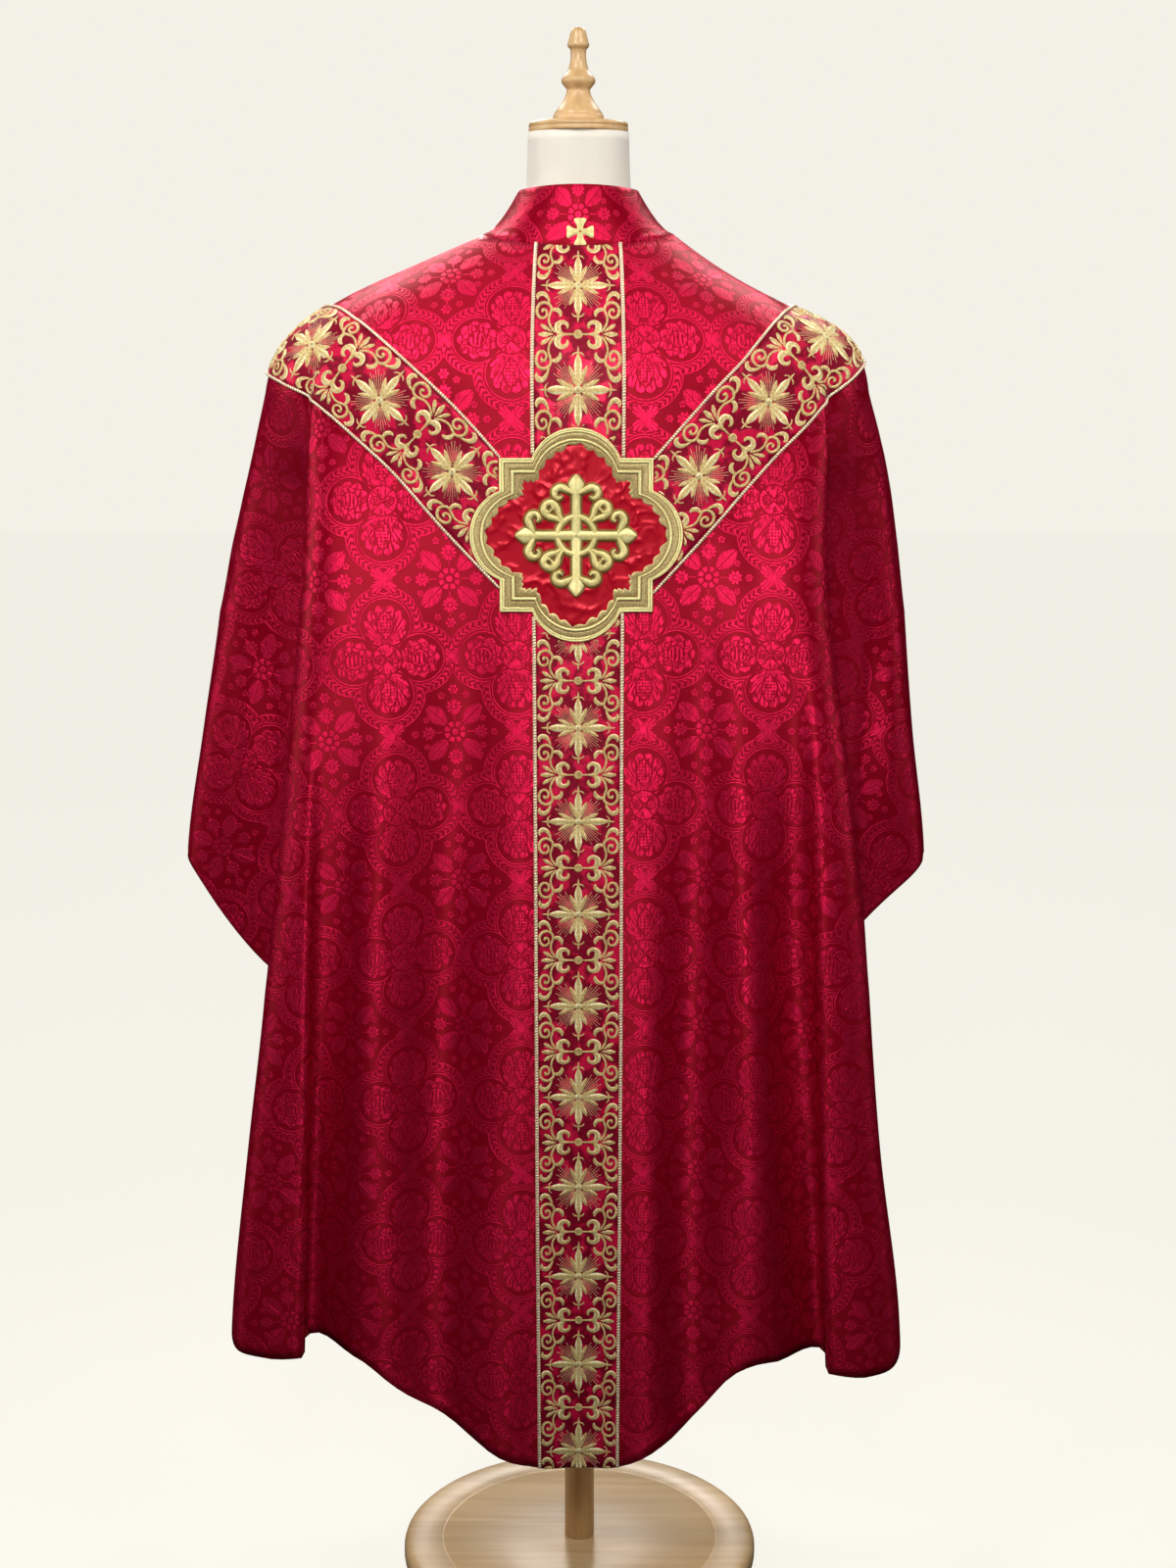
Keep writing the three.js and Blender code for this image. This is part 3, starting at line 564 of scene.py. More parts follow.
def grid_uv(cloth):
    """Flat coordinates of the cloth in millimetres, unfolded so that it keeps its lengths as well as it can."""
    height, width = cloth.points.shape[:2]
    faces = [
        (j * width + i, j * width + i + 1, (j + 1) * width + i + 1, (j + 1) * width + i)
        for j in range(height - 1)
        for i in range(width - 1)
    ]
    mesh = mesh_of("unfolding", cloth.points.reshape(-1, 3), faces)
    obj = linked("unfolding", mesh)
    bpy.context.view_layer.objects.active = obj
    obj.select_set(True)
    bpy.ops.object.mode_set(mode="EDIT")
    bpy.ops.mesh.select_all(action="SELECT")
    bpy.ops.uv.unwrap(method="ANGLE_BASED", margin=0)
    bpy.ops.object.mode_set(mode="OBJECT")
    flat = np.zeros(len(mesh.loops) * 2)
    mesh.uv_layers["cloth"].data.foreach_get("uv", flat)
    uv = np.zeros((height * width, 2))
    uv[corner_points(mesh)] = flat.reshape(-1, 2)
    bpy.data.objects.remove(obj)
    bpy.data.meshes.remove(mesh)
    uv = uv.reshape(height, width, 2)
    top, low = uv[YOKE_ROWS, cloth.middle], uv[-1, cloth.middle]
    down = (low - top) / np.linalg.norm(low - top)
    out = np.array([-down[1], down[0]])
    if np.dot(uv[YOKE_ROWS, -1] - uv[YOKE_ROWS, 0], out) < 0:
        out = -out
    length = np.linalg.norm(np.diff(cloth.points[YOKE_ROWS:, cloth.middle], axis=0), axis=1).sum()
    scale = length / np.linalg.norm(low - top)
    rel = uv - uv[0, cloth.middle]
    return np.stack([rel @ out, rel @ down], axis=2) * scale


class Flat:
    """Finds the grid place of a point of the unfolded cloth."""

    def __init__(self, cloth, uv):
        self.cloth, self.uv = cloth, uv
        self.tree = grid_tree(np.dstack([uv, np.zeros(uv.shape[:2])]))

    def place(self, u, v):
        hit, _, index, _ = self.tree.ray_cast(Vector((u, v, 1)), Vector((0, 0, -1)))
        return None if hit is None else grid_place(self.uv, index, np.array([u, v]))

    def at(self, i, j):
        return grid_blend(i, j, self.uv)[0]


# How far apart a strip is measured, and steps of its curve to a station, both fine enough to look smooth
STRIP_STEP = 4
STATION_STEPS = 24


class Strip:
    """A band laid on the unfolded cloth: across is measured from its middle line, along from its start."""

    def __init__(self, flat, stations, reach=0):
        self.flat = flat
        stations = [np.array(p, float) for p in stations]
        if reach:
            ahead = stations[-1] - stations[-2]
            stations.append(stations[-1] + ahead / np.linalg.norm(ahead) * reach)
        count = len(stations)
        fine = [
            np.array([through([p[k] for p in stations], t) for k in range(2)])
            for t in np.linspace(0, count - 1, STATION_STEPS * count)
        ]
        lengths = lengths_along(fine)
        self.length = lengths[-1]
        self.knots = np.linspace(0, self.length, max(int(self.length / STRIP_STEP), 2))
        self.line = np.stack([np.interp(self.knots, lengths, [p[k] for p in fine]) for k in range(2)], axis=1)
        ahead = np.gradient(self.line, self.knots, axis=0)
        self.ahead = ahead / np.linalg.norm(ahead, axis=1, keepdims=True)

    def place(self, across, along):
        middle = np.array([np.interp(along, self.knots, self.line[:, k]) for k in range(2)])
        ahead = np.array([np.interp(along, self.knots, self.ahead[:, k]) for k in range(2)])
        side = np.array([-ahead[1], ahead[0]])
        if along < 0 or along > self.length:
            middle = middle + ahead * (along if along < 0 else along - self.length)
        return self.flat.place(*(middle + side * across))

    def point(self, across, along, height):
        place = self.place(across, along)
        return None if place is None else self.flat.cloth.at(*place, height)


def path_through(points, steps):
    """Evenly numbered points on a smooth curve through the given ones."""
    last = len(points) - 1
    return [[through([p[k] for p in points], last * t / steps) for k in range(len(points[0]))]
            for t in range(steps + 1)]


ROUND_SECTION = ((-1, 0), (-0.72, 0.72), (0, 1), (0.72, 0.72), (1, 0))
LEAF_SECTION = ((-1, 0), (-0.62, 0.95), (0, 0.55), (0.62, 0.95), (1, 0))
THIN_SECTION = ((-1, 0), (0, 1), (1, 0))
PADDED_SECTION = ((-1, 0), (-0.93, 0.4), (-0.7, 0.74), (-0.36, 0.94), (0, 1),
                  (0.36, 0.94), (0.7, 0.74), (0.93, 0.4), (1, 0))


def ribbon(rows, height, section=ROUND_SECTION, steps=None):
    """A raised stitch path: rows are across, along and half width. Returns local points, faces and UVs."""
    rows = path_through(rows, steps or 2 * (len(rows) - 1))
    line = np.array([r[:2] for r in rows])
    half = np.maximum(np.array([r[2] for r in rows]), 0.15)
    ahead = np.gradient(line, axis=0)
    ahead /= np.maximum(np.linalg.norm(ahead, axis=1, keepdims=True), 1e-6)
    side = np.stack([-ahead[:, 1], ahead[:, 0]], axis=1)
    length = lengths_along(line)
    points, uvs, faces = [], [], []
    for k in range(len(line)):
        rise = height * min(1, 0.45 + half[k] / 3.2)
        for out, up in section:
            points.append((*(line[k] + side[k] * half[k] * out), up * rise))
            uvs.append((length[k], half[k] * out))
    width = len(section)
    for k in range(len(line) - 1):
        for m in range(width - 1):
            a = k * width + m
            faces.append((a, a + width, a + width + 1, a + 1))
    faces.append(tuple(range(width)))
    faces.append(tuple(reversed(range((len(line) - 1) * width, len(line) * width))))
    return points, faces, uvs


def dome(across, along, radius, height, steps=10):
    points = [(across, along, height)]
    uvs = [(0, 0)]
    for share, rise in ((0.6, 0.8), (1, 0)):
        for k in range(steps):
            angle, reach = 2 * math.pi * k / steps, radius * share
            points.append((across + reach * math.cos(angle), along + reach * math.sin(angle), rise * height))
            uvs.append((radius * angle, reach))
    faces = [(0, 1 + k, 1 + (k + 1) % steps) for k in range(steps)]
    faces += [(1 + k, 1 + steps + k, 1 + steps + (k + 1) % steps, 1 + (k + 1) % steps) for k in range(steps)]
    faces.append(tuple(reversed(range(1 + steps, 1 + 2 * steps))))
    return points, faces, uvs


def joined(parts):
    points, faces, uvs = [], [], []
    for p, f, u in parts:
        base = len(points)
        points += list(p)
        uvs += list(u)
        faces += [tuple(base + k for k in face) for face in f]
    return points, faces, uvs


def mirrored(part, across=1, along=1):
    points, faces, uvs = part
    flip = across * along < 0
    return ([(p[0] * across, p[1] * along, p[2]) for p in points],
            [tuple(reversed(f)) if flip else f for f in faces], uvs)


def turned_by(part, quarter):
    points, faces, uvs = part
    c, s = round(math.cos(quarter * math.pi / 2)), round(math.sin(quarter * math.pi / 2))
    return [(p[0] * c - p[1] * s, p[0] * s + p[1] * c, p[2]) for p in points], faces, uvs


# The embroidered repeat: rows of distance across, distance along and half width
RELIEF = 1.4
STAR_LEAF = [(1, 0, 1.6), (5, 0, 2.3), (9, 0, 2.6), (14, 0, 2.9), (19, 0, 3.9), (23, 0, 3.6), (27, 0, 2.4),
             (31, 0, 0.9)]
STAR_LOBE = [(7, 1.6, 0.8), (11.5, 4.0, 1.9), (16, 6.4, 2.0), (20.6, 8.8, 0.5)]
STAR_BUD = [(3, 1.2, 0.6), (6.5, 3.2, 1.4), (10.5, 5.6, 0.5)]
STAR_BAR = [(28.8, -6.0, 0.4), (31.2, -4.0, 0.75), (32, 0, 0.8), (31.2, 4.0, 0.75), (28.8, 6.0, 0.4)]
STAR_TIP = [(31, 0, 0.8), (34, 0, 0.9), (37.6, 0, 0.35)]
RAYS = [(24, 22), (30, 27), (36, 24), (42, 29), (48, 29), (54, 24), (60, 27), (66, 22)]
BOW_STEM = [(4.2, 0, 0.9), (9, 0, 0.95), (13, 0, 1.3), (17, 0, 2.4), (20.5, 0, 1.4)]
BOW_CURL = [(15.5, 1.0, 1.0), (19.2, 3.6, 2.9), (20.2, 8.0, 3.1), (17, 11.4, 2.3), (12.8, 11.2, 1.9),
            (10.2, 8.2, 1.6), (11, 5.2, 0.6)]
MIDDLE_PETAL = [(24.4, 0, 0.5), (28, 0, 1.4), (33, 0, 2.5), (38.8, 0, 0.9)]
SIDE_PETAL = [(25.8, 2.4, 0.5), (29, 4.6, 1.3), (33, 7.0, 2.0), (36.4, 9.2, 0.8)]
VOLUTE = [(22.6, 1.8, 0.9), (25.6, 5.6, 1.2), (28.2, 10.4, 1.1), (28.8, 15.6, 1.1), (27.2, 21, 1.2),
          (26.2, 25.4, 1.3), (28.8, 29.4, 1.4), (33.4, 31.2, 1.5), (38, 29.4, 1.5), (40.6, 25, 1.5),
          (40.2, 19.6, 1.5), (37, 16, 1.4), (32.8, 16.2, 1.3), (30.6, 19.8, 1.2), (32, 23.6, 1.2),
          (35, 23.8, 1.5), (35.2, 21.4, 1.0)]
HOOK = [(26.4, 22.4, 0.7), (23.4, 24.2, 1.8), (19.6, 23.2, 2.2), (17.2, 19.8, 1.8), (17.6, 16.8, 0.6)]
ACANTHUS = [(28.2, 30.4, 0.7), (29.8, 35, 1.4), (33, 39.4, 2.1), (37, 40.4, 2.5), (40.2, 37.8, 2.0),
            (40, 34.2, 0.6)]
PITCH = 98


def star_part():
    """The four-leaved star at the start of a repeat."""
    parts = []
    for quarter in range(4):
        parts.append(turned_by(ribbon(STAR_LEAF, RELIEF, LEAF_SECTION, 14), quarter))
        for side in (1, -1):
            for rows in (STAR_LOBE, STAR_BUD):
                lobe = mirrored(ribbon(rows, RELIEF * 0.9, ROUND_SECTION, 6), 1, side)
                parts.append(turned_by(lobe, quarter))
        parts.append(turned_by(ribbon(STAR_BAR, RELIEF * 0.8), quarter))
        parts.append(turned_by(ribbon(STAR_TIP, RELIEF * 0.8), quarter))
    parts.append(dome(0, 0, 4.2, RELIEF * 1.4))
    return joined(parts)


def rays_part():
    """The thin rays between the star's leaves, with a bead at each end."""
    parts = []
    for quarter in range(4):
        for degrees, length in RAYS:
            angle = math.radians(degrees)
            c, s = math.cos(angle), math.sin(angle)
            rows = [(6 * c, 6 * s, 0.34), (length * c, length * s, 0.34)]
            parts.append(turned_by(ribbon(rows, RELIEF * 0.8, THIN_SECTION, 2), quarter))
            parts.append(turned_by(dome(length * c, length * s, 0.7, RELIEF * 0.7, 5), quarter))
    return joined(parts)


def bow_part():
    """The scrolled bow that stands midway between two stars."""
    ring = [(3.1 * math.cos(a), 3.1 * math.sin(a), 1.3) for a in np.linspace(0, 2 * math.pi, 11)]
    parts = [dome(0, 0, 1.8, RELIEF * 0.6), ribbon(ring, RELIEF, ROUND_SECTION, 14)]
    for across in (1, -1):
        parts.append(mirrored(ribbon(BOW_STEM, RELIEF), across))
        parts.append(mirrored(ribbon(MIDDLE_PETAL, RELIEF, LEAF_SECTION), across))
        for along in (1, -1):
            for rows, section, steps in ((BOW_CURL, LEAF_SECTION, 16), (SIDE_PETAL, LEAF_SECTION, 6),
                                         (VOLUTE, ROUND_SECTION, 30), (HOOK, LEAF_SECTION, 8),
                                         (ACANTHUS, LEAF_SECTION, 12)):
                parts.append(mirrored(ribbon(rows, RELIEF, section, steps), across, along))
    return joined(parts)


def laid(strip, part, middle, stretch, lift, left_out):
    """A flat part laid on a band round a place along it, less the faces that the test leaves out."""
    points, faces, uvs = part
    placed, coords, kept = [], [], {}
    for k, ((a, s, h), uv) in enumerate(zip(points, uvs)):
        spot = strip.point(a, middle + s * stretch, lift + h)
        if spot is not None and not left_out(spot):
            kept[k] = len(placed)
            placed.append(spot)
            coords.append(uv)
    flip = strip.flat.cloth.face > 0
    chosen = [[kept[k] for k in face] for face in faces if all(k in kept for k in face)]
    return placed, [tuple(reversed(f)) if flip else tuple(f) for f in chosen], coords


class Field:
    """A number at each point of a surface, worked out by shader nodes."""

    def __init__(self, tree, socket):
        self.tree, self.socket = tree, socket

    def worked(self, operation, *others, clamped=False):
        node = self.tree.nodes.new("ShaderNodeMath")
        node.operation = operation
        node.use_clamp = clamped
        for slot, value in zip(node.inputs, (self, *others)):
            if isinstance(value, Field):
                self.tree.links.new(value.socket, slot)
            else:
                slot.default_value = value
        return Field(self.tree, node.outputs[0])

    def __add__(self, other):
        return self.worked("ADD", other)

    def __sub__(self, other):
        return self.worked("SUBTRACT", other)

    def __mul__(self, other):
        return self.worked("MULTIPLY", other)

    def __rsub__(self, other):
        return self.worked("MULTIPLY_ADD", -1, other)

    def size(self):
        return self.worked("ABSOLUTE")

    def sine(self):
        return self.worked("SINE")

    def folded(self, half):
        return self.worked("PINGPONG", half)

    def least(self, other):
        return self.worked("MINIMUM", other)

    def most(self, other):
        return self.worked("MAXIMUM", other)

    def below(self, edge, soft=0.7):
        """1 where the number is below the edge and 0 above it."""
        return self.worked("MULTIPLY_ADD", -1 / soft, 0.5 + edge / soft, clamped=True)

    def above(self, edge, soft=0.7):
        return self.worked("MULTIPLY_ADD", 1 / soft, 0.5 - edge / soft, clamped=True)

    def near(self, value, half, soft=0.7):
        """1 within half of a value and 0 away from it."""
        return (self - value).size().below(half, soft)

    def without(self, other):
        """This mask less what another covers."""
        return self * (1 - other)

    def clipped(self):
        """The number, held between 0 and 1."""
        return self.worked("MULTIPLY", 1, clamped=True)

    def lobes(self, count):
        """Bumps from 0 to 1 of an angle or a length, as many in each half turn as the count."""
        return (self * count).sine().size()


class Plane:
    """A place on the flat cloth, for distances to points and ovals."""

    def __init__(self, tree, across, down):
        self.tree, self.across, self.down = tree, across, down
        node = tree.nodes.new("ShaderNodeCombineXYZ")
        tree.links.new(across.socket, node.inputs[0])
        tree.links.new(down.socket, node.inputs[1])
        self.socket = node.outputs[0]

    def away(self, across, down):
        """Distance from a point."""
        node = self.tree.nodes.new("ShaderNodeVectorMath")
        node.operation = "DISTANCE"
        self.tree.links.new(self.socket, node.inputs[0])
        node.inputs[1].default_value = (across, down, 0)
        return Field(self.tree, node.outputs["Value"])

    def turn(self, across, down):
        """Angle round a point, measured from the way down."""
        return (self.across - across).worked("ARCTAN2", self.down - down)


# The two tones of each finish, where it is darker and where it is brighter
TONES = {
    "damask": ((0.23, 0.0003, 0.009), (0.29, 0.0006, 0.014)),
    "damask_figure": ((0.60, 0.007, 0.052), (0.72, 0.014, 0.078)),
    "orphrey": ((0.16, 0.0006, 0.012), (0.60, 0.008, 0.055)),
    "gold_thread": ((0.58, 0.38, 0.11), (1.0, 0.95, 0.56)),
    "ray_gold": ((0.55, 0.28, 0.15), (0.95, 0.64, 0.45)),
    "padded_gold": ((0.66, 0.55, 0.20), (0.92, 0.85, 0.42)),
    "edge_gold": ((0.13, 0.065, 0.01), (0.26, 0.15, 0.025)),
    "cord_gold": ((0.42, 0.22, 0.10), (0.95, 0.80, 0.58)),
    "border_gold": ((0.20, 0.085, 0.015), (0.95, 0.88, 0.40)),
    "red_satin": ((0.34, 0.002, 0.012), (0.45, 0.006, 0.02)),
    "form_cloth": ((0.66, 0.62, 0.54), (0.74, 0.70, 0.62)),
    "light_wood": ((0.44, 0.25, 0.10), (0.66, 0.44, 0.21)),
    "base_wood": ((0.56, 0.34, 0.15), (0.82, 0.58, 0.31)),
    "floor": ((0.075, 0.073, 0.067), (0.09, 0.088, 0.08)),
}
GOLD_SHEEN = (1.0, 0.9, 0.65)


class Finish:
    """A material under construction: its node tree, shader and the flat coordinates in millimetres."""

    def __init__(self, name, roughness=0.5, metallic=0.0, sheen=0.0, sheen_tint=(1, 1, 1),
                 sheen_roughness=0.4):
        self.name = name
        self.material = bpy.data.materials.new(name)
        self.material.use_nodes = True
        self.tree = self.material.node_tree
        self.shader = self.tree.nodes["Principled BSDF"]
        self.fix("Roughness", roughness)
        self.fix("Metallic", metallic)
        self.fix("Sheen Weight", sheen)
        self.fix("Sheen Tint", (*sheen_tint, 1))
        self.fix("Sheen Roughness", sheen_roughness)
        uv = self.tree.nodes.new("ShaderNodeUVMap")
        uv.uv_map = "cloth"
        self.uv = uv.outputs[0]
        parts = self.tree.nodes.new("ShaderNodeSeparateXYZ")
        self.tree.links.new(self.uv, parts.inputs[0])
        self.across = Field(self.tree, parts.outputs[0]) * (1 / MM)
        self.down = Field(self.tree, parts.outputs[1]) * (1 / MM)

    def fix(self, socket, value):
        """Sets one of the shader's own sockets, the same all over the surface."""
        self.shader.inputs[socket].default_value = value

    def mixed(self, share, first, second):
        """A colour between two, by a share."""
        node = self.tree.nodes.new("ShaderNodeMix")
        node.data_type = "RGBA"
        self.tree.links.new(share.socket, node.inputs["Factor"])
        for slot, colour in ((node.inputs[6], first), (node.inputs[7], second)):
            if isinstance(colour, tuple):
                slot.default_value = (*colour, 1)
            else:
                self.tree.links.new(colour, slot)
        return node.outputs[2]

    def cloud(self, scale, detail=2, stretch=None, on_cloth=True):
        """Soft noise from about 0 to 1: scale is lumps in a metre."""
        node = self.tree.nodes.new("ShaderNodeTexNoise")
        node.inputs["Scale"].default_value = scale
        node.inputs["Detail"].default_value = detail
        if on_cloth:
            source = self.uv
        else:
            source = self.tree.nodes.new("ShaderNodeTexCoord").outputs["Object"]
        if stretch:
            scaled = self.tree.nodes.new("ShaderNodeVectorMath")
            scaled.operation = "MULTIPLY"
            self.tree.links.new(source, scaled.inputs[0])
            scaled.inputs[1].default_value = stretch
            source = scaled.outputs[0]
        self.tree.links.new(source, node.inputs["Vector"])
        return Field(self.tree, node.outputs["Fac"])

    def colour(self, share, *tones):
        """Mixes two tones by a share, the finish's own where none are given."""
        self.tree.links.new(self.mixed(share, *(tones or TONES[self.name])), self.shader.inputs["Base Color"])

    def number(self, name, field):
        self.tree.links.new(field.socket, self.shader.inputs[name])

    def relief(self, field, height, strength):
        """Bump from a field, where height is in millimetres for a change of 1."""
        node = self.tree.nodes.new("ShaderNodeBump")
        node.inputs["Strength"].default_value = strength
        node.inputs["Distance"].default_value = height * MM
        self.tree.links.new(field.socket, node.inputs["Height"])
        self.tree.links.new(node.outputs[0], self.shader.inputs["Normal"])


# The woven figure of the damask: half repeat across and down, and where a quatrefoil's centre stands
REPEAT = {"half": 65, "fall": 78, "start": 265}
FOIL = {"upright": (35, 24), "level": (33, 23), "heart": 16}
LEAF = {
    "down": 33, "edge": 18, "flame": 3.2, "fan": 11, "fan_from": 13,
    "bud": 17, "bud_aside": 9, "bud_down": 34,
}
ROSE = {"edge": 18.6, "wave": 1.3, "petals": 9}
# Leafy knots where the ropes meet: wide lobes, teeth, core, how many teeth, bare eye and dark margin
LARGE_KNOT = (11, 2.6, 3, 10, 3.4, 1.7)
SMALL_KNOT = (6.5, 1.6, 2.4, 8, 2.6, 1.4)
# Blossoms between the quatrefoils: how far across and down from the rosette, size and petals
LOOSE_FLOWERS = [(0, 26, 7.5, 10), (0, 44, 5.0, 6), (27, 0, 6.6, 8), (41, 0, 3.6, 6), (12.5, 38, 3.4, 5),
                 (29, 14, 3.2, 5)]


def flame_leaf(place):
    """A flame-petalled leaf with a scaled, pointed bud in it, for the upper and lower lobes."""
    a, b = place.across, place.down
    fan = place.turn(0, LEAF["fan_from"])
    away = place.away(0, LEAF["down"])
    leaf = (away - (fan.lobes(LEAF["fan"]) * LEAF["flame"] + LEAF["edge"])).below(0)
    veins = fan.lobes(LEAF["fan"]).below(0.24, 0.24)
    left_bud = place.away(-LEAF["bud_aside"], LEAF["bud_down"])
    bud_shape = left_bud.most(place.away(LEAF["bud_aside"], LEAF["bud_down"]))
    bud = bud_shape.below(LEAF["bud"])
    scales = ((a + b) * 0.95).sine() * ((a - b) * 0.95).sine()
    flames = fan.lobes(2 * LEAF["fan"]).below(0.34, 0.3) * away.near(12.5, 3.2)
    leaf = leaf.without(veins.most(flames).without(bud)).without(bud_shape.near(LEAF["bud"], 0.7))
    return leaf.without(bud * scales.above(0.35, 0.3))


def rose(place, at):
    """A rose for the side lobes, with plain upright lines in its middle."""
    turned = place.turn(at, 0)
    away = place.away(at, 0)
    whole = (away - ((turned * ROSE["petals"]).sine() * ROSE["wave"] + ROSE["edge"])).below(0)
    petals = (turned * 4.5 + away * 0.22).sine().size().below(0.2, 0.2) * away.above(9)
    inner_petals = (turned * 6 - away * 0.3).sine().size().below(0.26, 0.2) * away.near(11.2, 2.4)
    upright_lines = (place.across * 1.5).sine().below(-0.35, 0.4) * away.below(6.6)
    whole = whole.without(petals).without(inner_petals).without(away.near(8.6, 0.7))
    whole = whole.without(((away - 14) - (turned * 6).sine() * 1.1).near(0, 0.45))
    return whole.without(upright_lines)


def round_heart(place):
    """The round heart of a quatrefoil, with two small ovals."""
    away, eye = place.away(0, 0), place.away(7, 0)
    heart = away.below(14.4).without(eye.near(4.4, 0.6)).without(eye.near(1.8, 0.5))
    return heart.without(place.turn(0, 0).lobes(12).below(0.18, 0.2) * away.above(10))


def leafy_knot(place, across, down, shape):
    """A knot of four serrated leaves, and the dark margin round it."""
    wide, tooth, core, teeth, eye, margin = shape
    away, turned = place.away(across, down), place.turn(across, down)
    past = away - (turned.lobes(2) * wide + turned.lobes(teeth) * tooth + core)
    veins = turned.lobes(teeth).below(0.3, 0.25) * away.above(eye)
    return past.below(0).without(veins), past.below(margin)


def loose_figure(place):
    """Between the quatrefoils: a dotted rosette, four serrated leaves, blossoms and two crossed stems."""
    across, down = REPEAT["half"], REPEAT["fall"]
    away = place.away(across, down)
    dots = place.turn(across, down).lobes(4).above(0.45, 0.3) * away.near(8.3, 2.5)
    rosette = away.below(3.2).most(dots)
    side, above = (place.across - across).size(), (place.down - down).size()
    out = (side + above) * math.sqrt(0.5)
    off = ((side - above) * math.sqrt(0.5)).size()
    teeth = (out * 1.15 - off * 0.9).sine().size()
    leaf_half = ((out - 12) * (math.pi / 27)).sine() * 6.4 + teeth * 2.2
    diagonal = (off - leaf_half).below(0) * out.near(25.5, 13)
    diagonal = diagonal.without(off.below(0.45, 0.5)).without(teeth.below(0.24, 0.25) * off.above(1.6))
    stems = side.below(0.55, 0.5).most(above.below(0.55, 0.5) * side.below(30)) * away.near(25, 13)
    figure = rosette.most(diagonal).most(stems)
    for x, z, size, petals in LOOSE_FLOWERS:
        far, turned = place.away(across - x, down - z), place.turn(across - x, down - z)
        flower = (far - (turned.lobes(petals / 2) * (size * 0.45) + size * 0.62)).below(0)
        flower = flower.without(far.near(size * 0.34, 0.45))
        flower = flower.without(turned.lobes(petals / 2).below(0.18, 0.2) * far.above(size * 0.34))
        figure = figure.most(flower)
    return figure


def woven_figure(finish):
    """The damask's figure, 1 on its satin and 0 on the ground."""
    a = (finish.across - REPEAT["half"]).folded(REPEAT["half"])
    b = (finish.down - REPEAT["start"]).folded(REPEAT["fall"])
    place = Plane(finish.tree, a, b)
    upright_at, upright_radius = FOIL["upright"]
    level_at, level_radius = FOIL["level"]
    upright = place.away(0, upright_at) - upright_radius
    level = place.away(level_at, 0) - level_radius
    heart = place.away(0, 0) - FOIL["heart"]
    foil = upright.least(level).least(heart)

    leaf = flame_leaf(place) * upright.below(0)
    side_rose = rose(place, level_at) * level.below(0)
    crossing = (upright - level).near(0, 1.1) * foil.below(0)
    strokes = finish.cloud(430, 1, (1.0, 0.3, 1.0)).above(0.56, 0.07)
    inside = (leaf.most(side_rose) * heart.above(0)).most(round_heart(place))
    inside = inside.without(crossing).without(strokes * 0.75)

    # The rope that runs round the quatrefoil
    outline = foil.near(1.2, 0.55)
    rope_lines = foil.near(3.9, 0.5).most(foil.near(12.4, 0.55))
    strands = ((a - b) * 0.8 + (foil - 8.2).size() * 1.1).sine().above(-0.05, 0.5) * foil.near(8.2, 3.3)
    rope = rope_lines.most(strands * 0.9)

    knot, knot_margin = leafy_knot(place, 0, REPEAT["fall"], LARGE_KNOT)
    small, small_margin = leafy_knot(place, REPEAT["half"], 0, SMALL_KNOT)
    margin = knot_margin.most(small_margin)
    outside = foil.above(2.6)
    clear = foil.above(14.2).without(margin)
    figure = inside.most(outline).most((rope * outside).without(margin)).most(knot.most(small) * outside)
    return figure.most(loose_figure(place) * clear).without(strokes * 0.35)


def damask_finish():
    """The figure's threads mirror the light, up and down more than sideways, and the ground is duller."""
    finish = Finish("damask")
    finish.fix("Specular IOR Level", 0.1)
    finish.fix("Anisotropic", 0.8)
    finish.fix("Anisotropic Rotation", 0.25)
    tangent = finish.tree.nodes.new("ShaderNodeTangent")
    tangent.direction_type = "UV_MAP"
    tangent.uv_map = "cloth"
    finish.tree.links.new(tangent.outputs[0], finish.shader.inputs["Tangent"])
    figure = woven_figure(finish)
    worn = finish.cloud(9, 3)
    finish.colour(figure, finish.mixed(worn, *TONES["damask"]), finish.mixed(worn, *TONES["damask_figure"]))
    finish.number("Roughness", figure * -0.07 + 0.47)
    finish.number("Metallic", figure * 0.48 + 0.34)
    threads = ((finish.across + finish.down) * 5.2).sine() * 0.12
    weft = (finish.down * 8.4).sine() * 0.07
    finish.relief(figure + threads * figure + weft, 0.26, 0.8)
    return finish.material


def satin_ground_finish():
    """The bands' crimson ground with its brighter brocaded patches."""
    finish = Finish("orphrey", roughness=0.36, metallic=0.2, sheen=0.1, sheen_tint=(1.0, 0.2, 0.35))
    finish.fix("Specular IOR Level", 0.1)
    patches = finish.cloud(62, 3, (1.0, 0.8, 1.0)).above(0.53, 0.1)
    fine = finish.cloud(210, 2).above(0.5, 0.3)
    finish.colour(patches * 0.8 + fine * 0.12)
    finish.number("Roughness", patches * -0.14 + 0.46)
    ribs = (finish.down * 7.5).sine() * 0.1
    finish.relief(patches + fine * 0.4 + ribs, 0.35, 0.7)
    return finish.material


def stitched_finish(name, metallic, thread=0.55, rib=0.4):
    """Satin stitch across a raised stroke: darker thread in the middle and bright thread along the edges."""
    finish = Finish(name, metallic=metallic, sheen=0.15, sheen_tint=GOLD_SHEEN)
    length, across = finish.across, finish.down
    edge = across.size().above(1.75, 1.1)
    # Painted glints: random spots lighten the thread's colour toward its bright tone; the same spots also vary
    # its roughness and bump.
    lights = finish.cloud(420, 2)
    tone = edge * 0.7 + lights.above(0.52, 0.25) * 0.42
    stitches = ((length + across.size() * 0.5) * (2 * math.pi / thread)).sine()
    finish.colour((tone + stitches * 0.1).clipped())
    finish.number("Roughness", lights * 0.2 + 0.3)
    finish.relief(stitches * rib + lights * 0.8, 0.3, 0.8)
    return finish.material


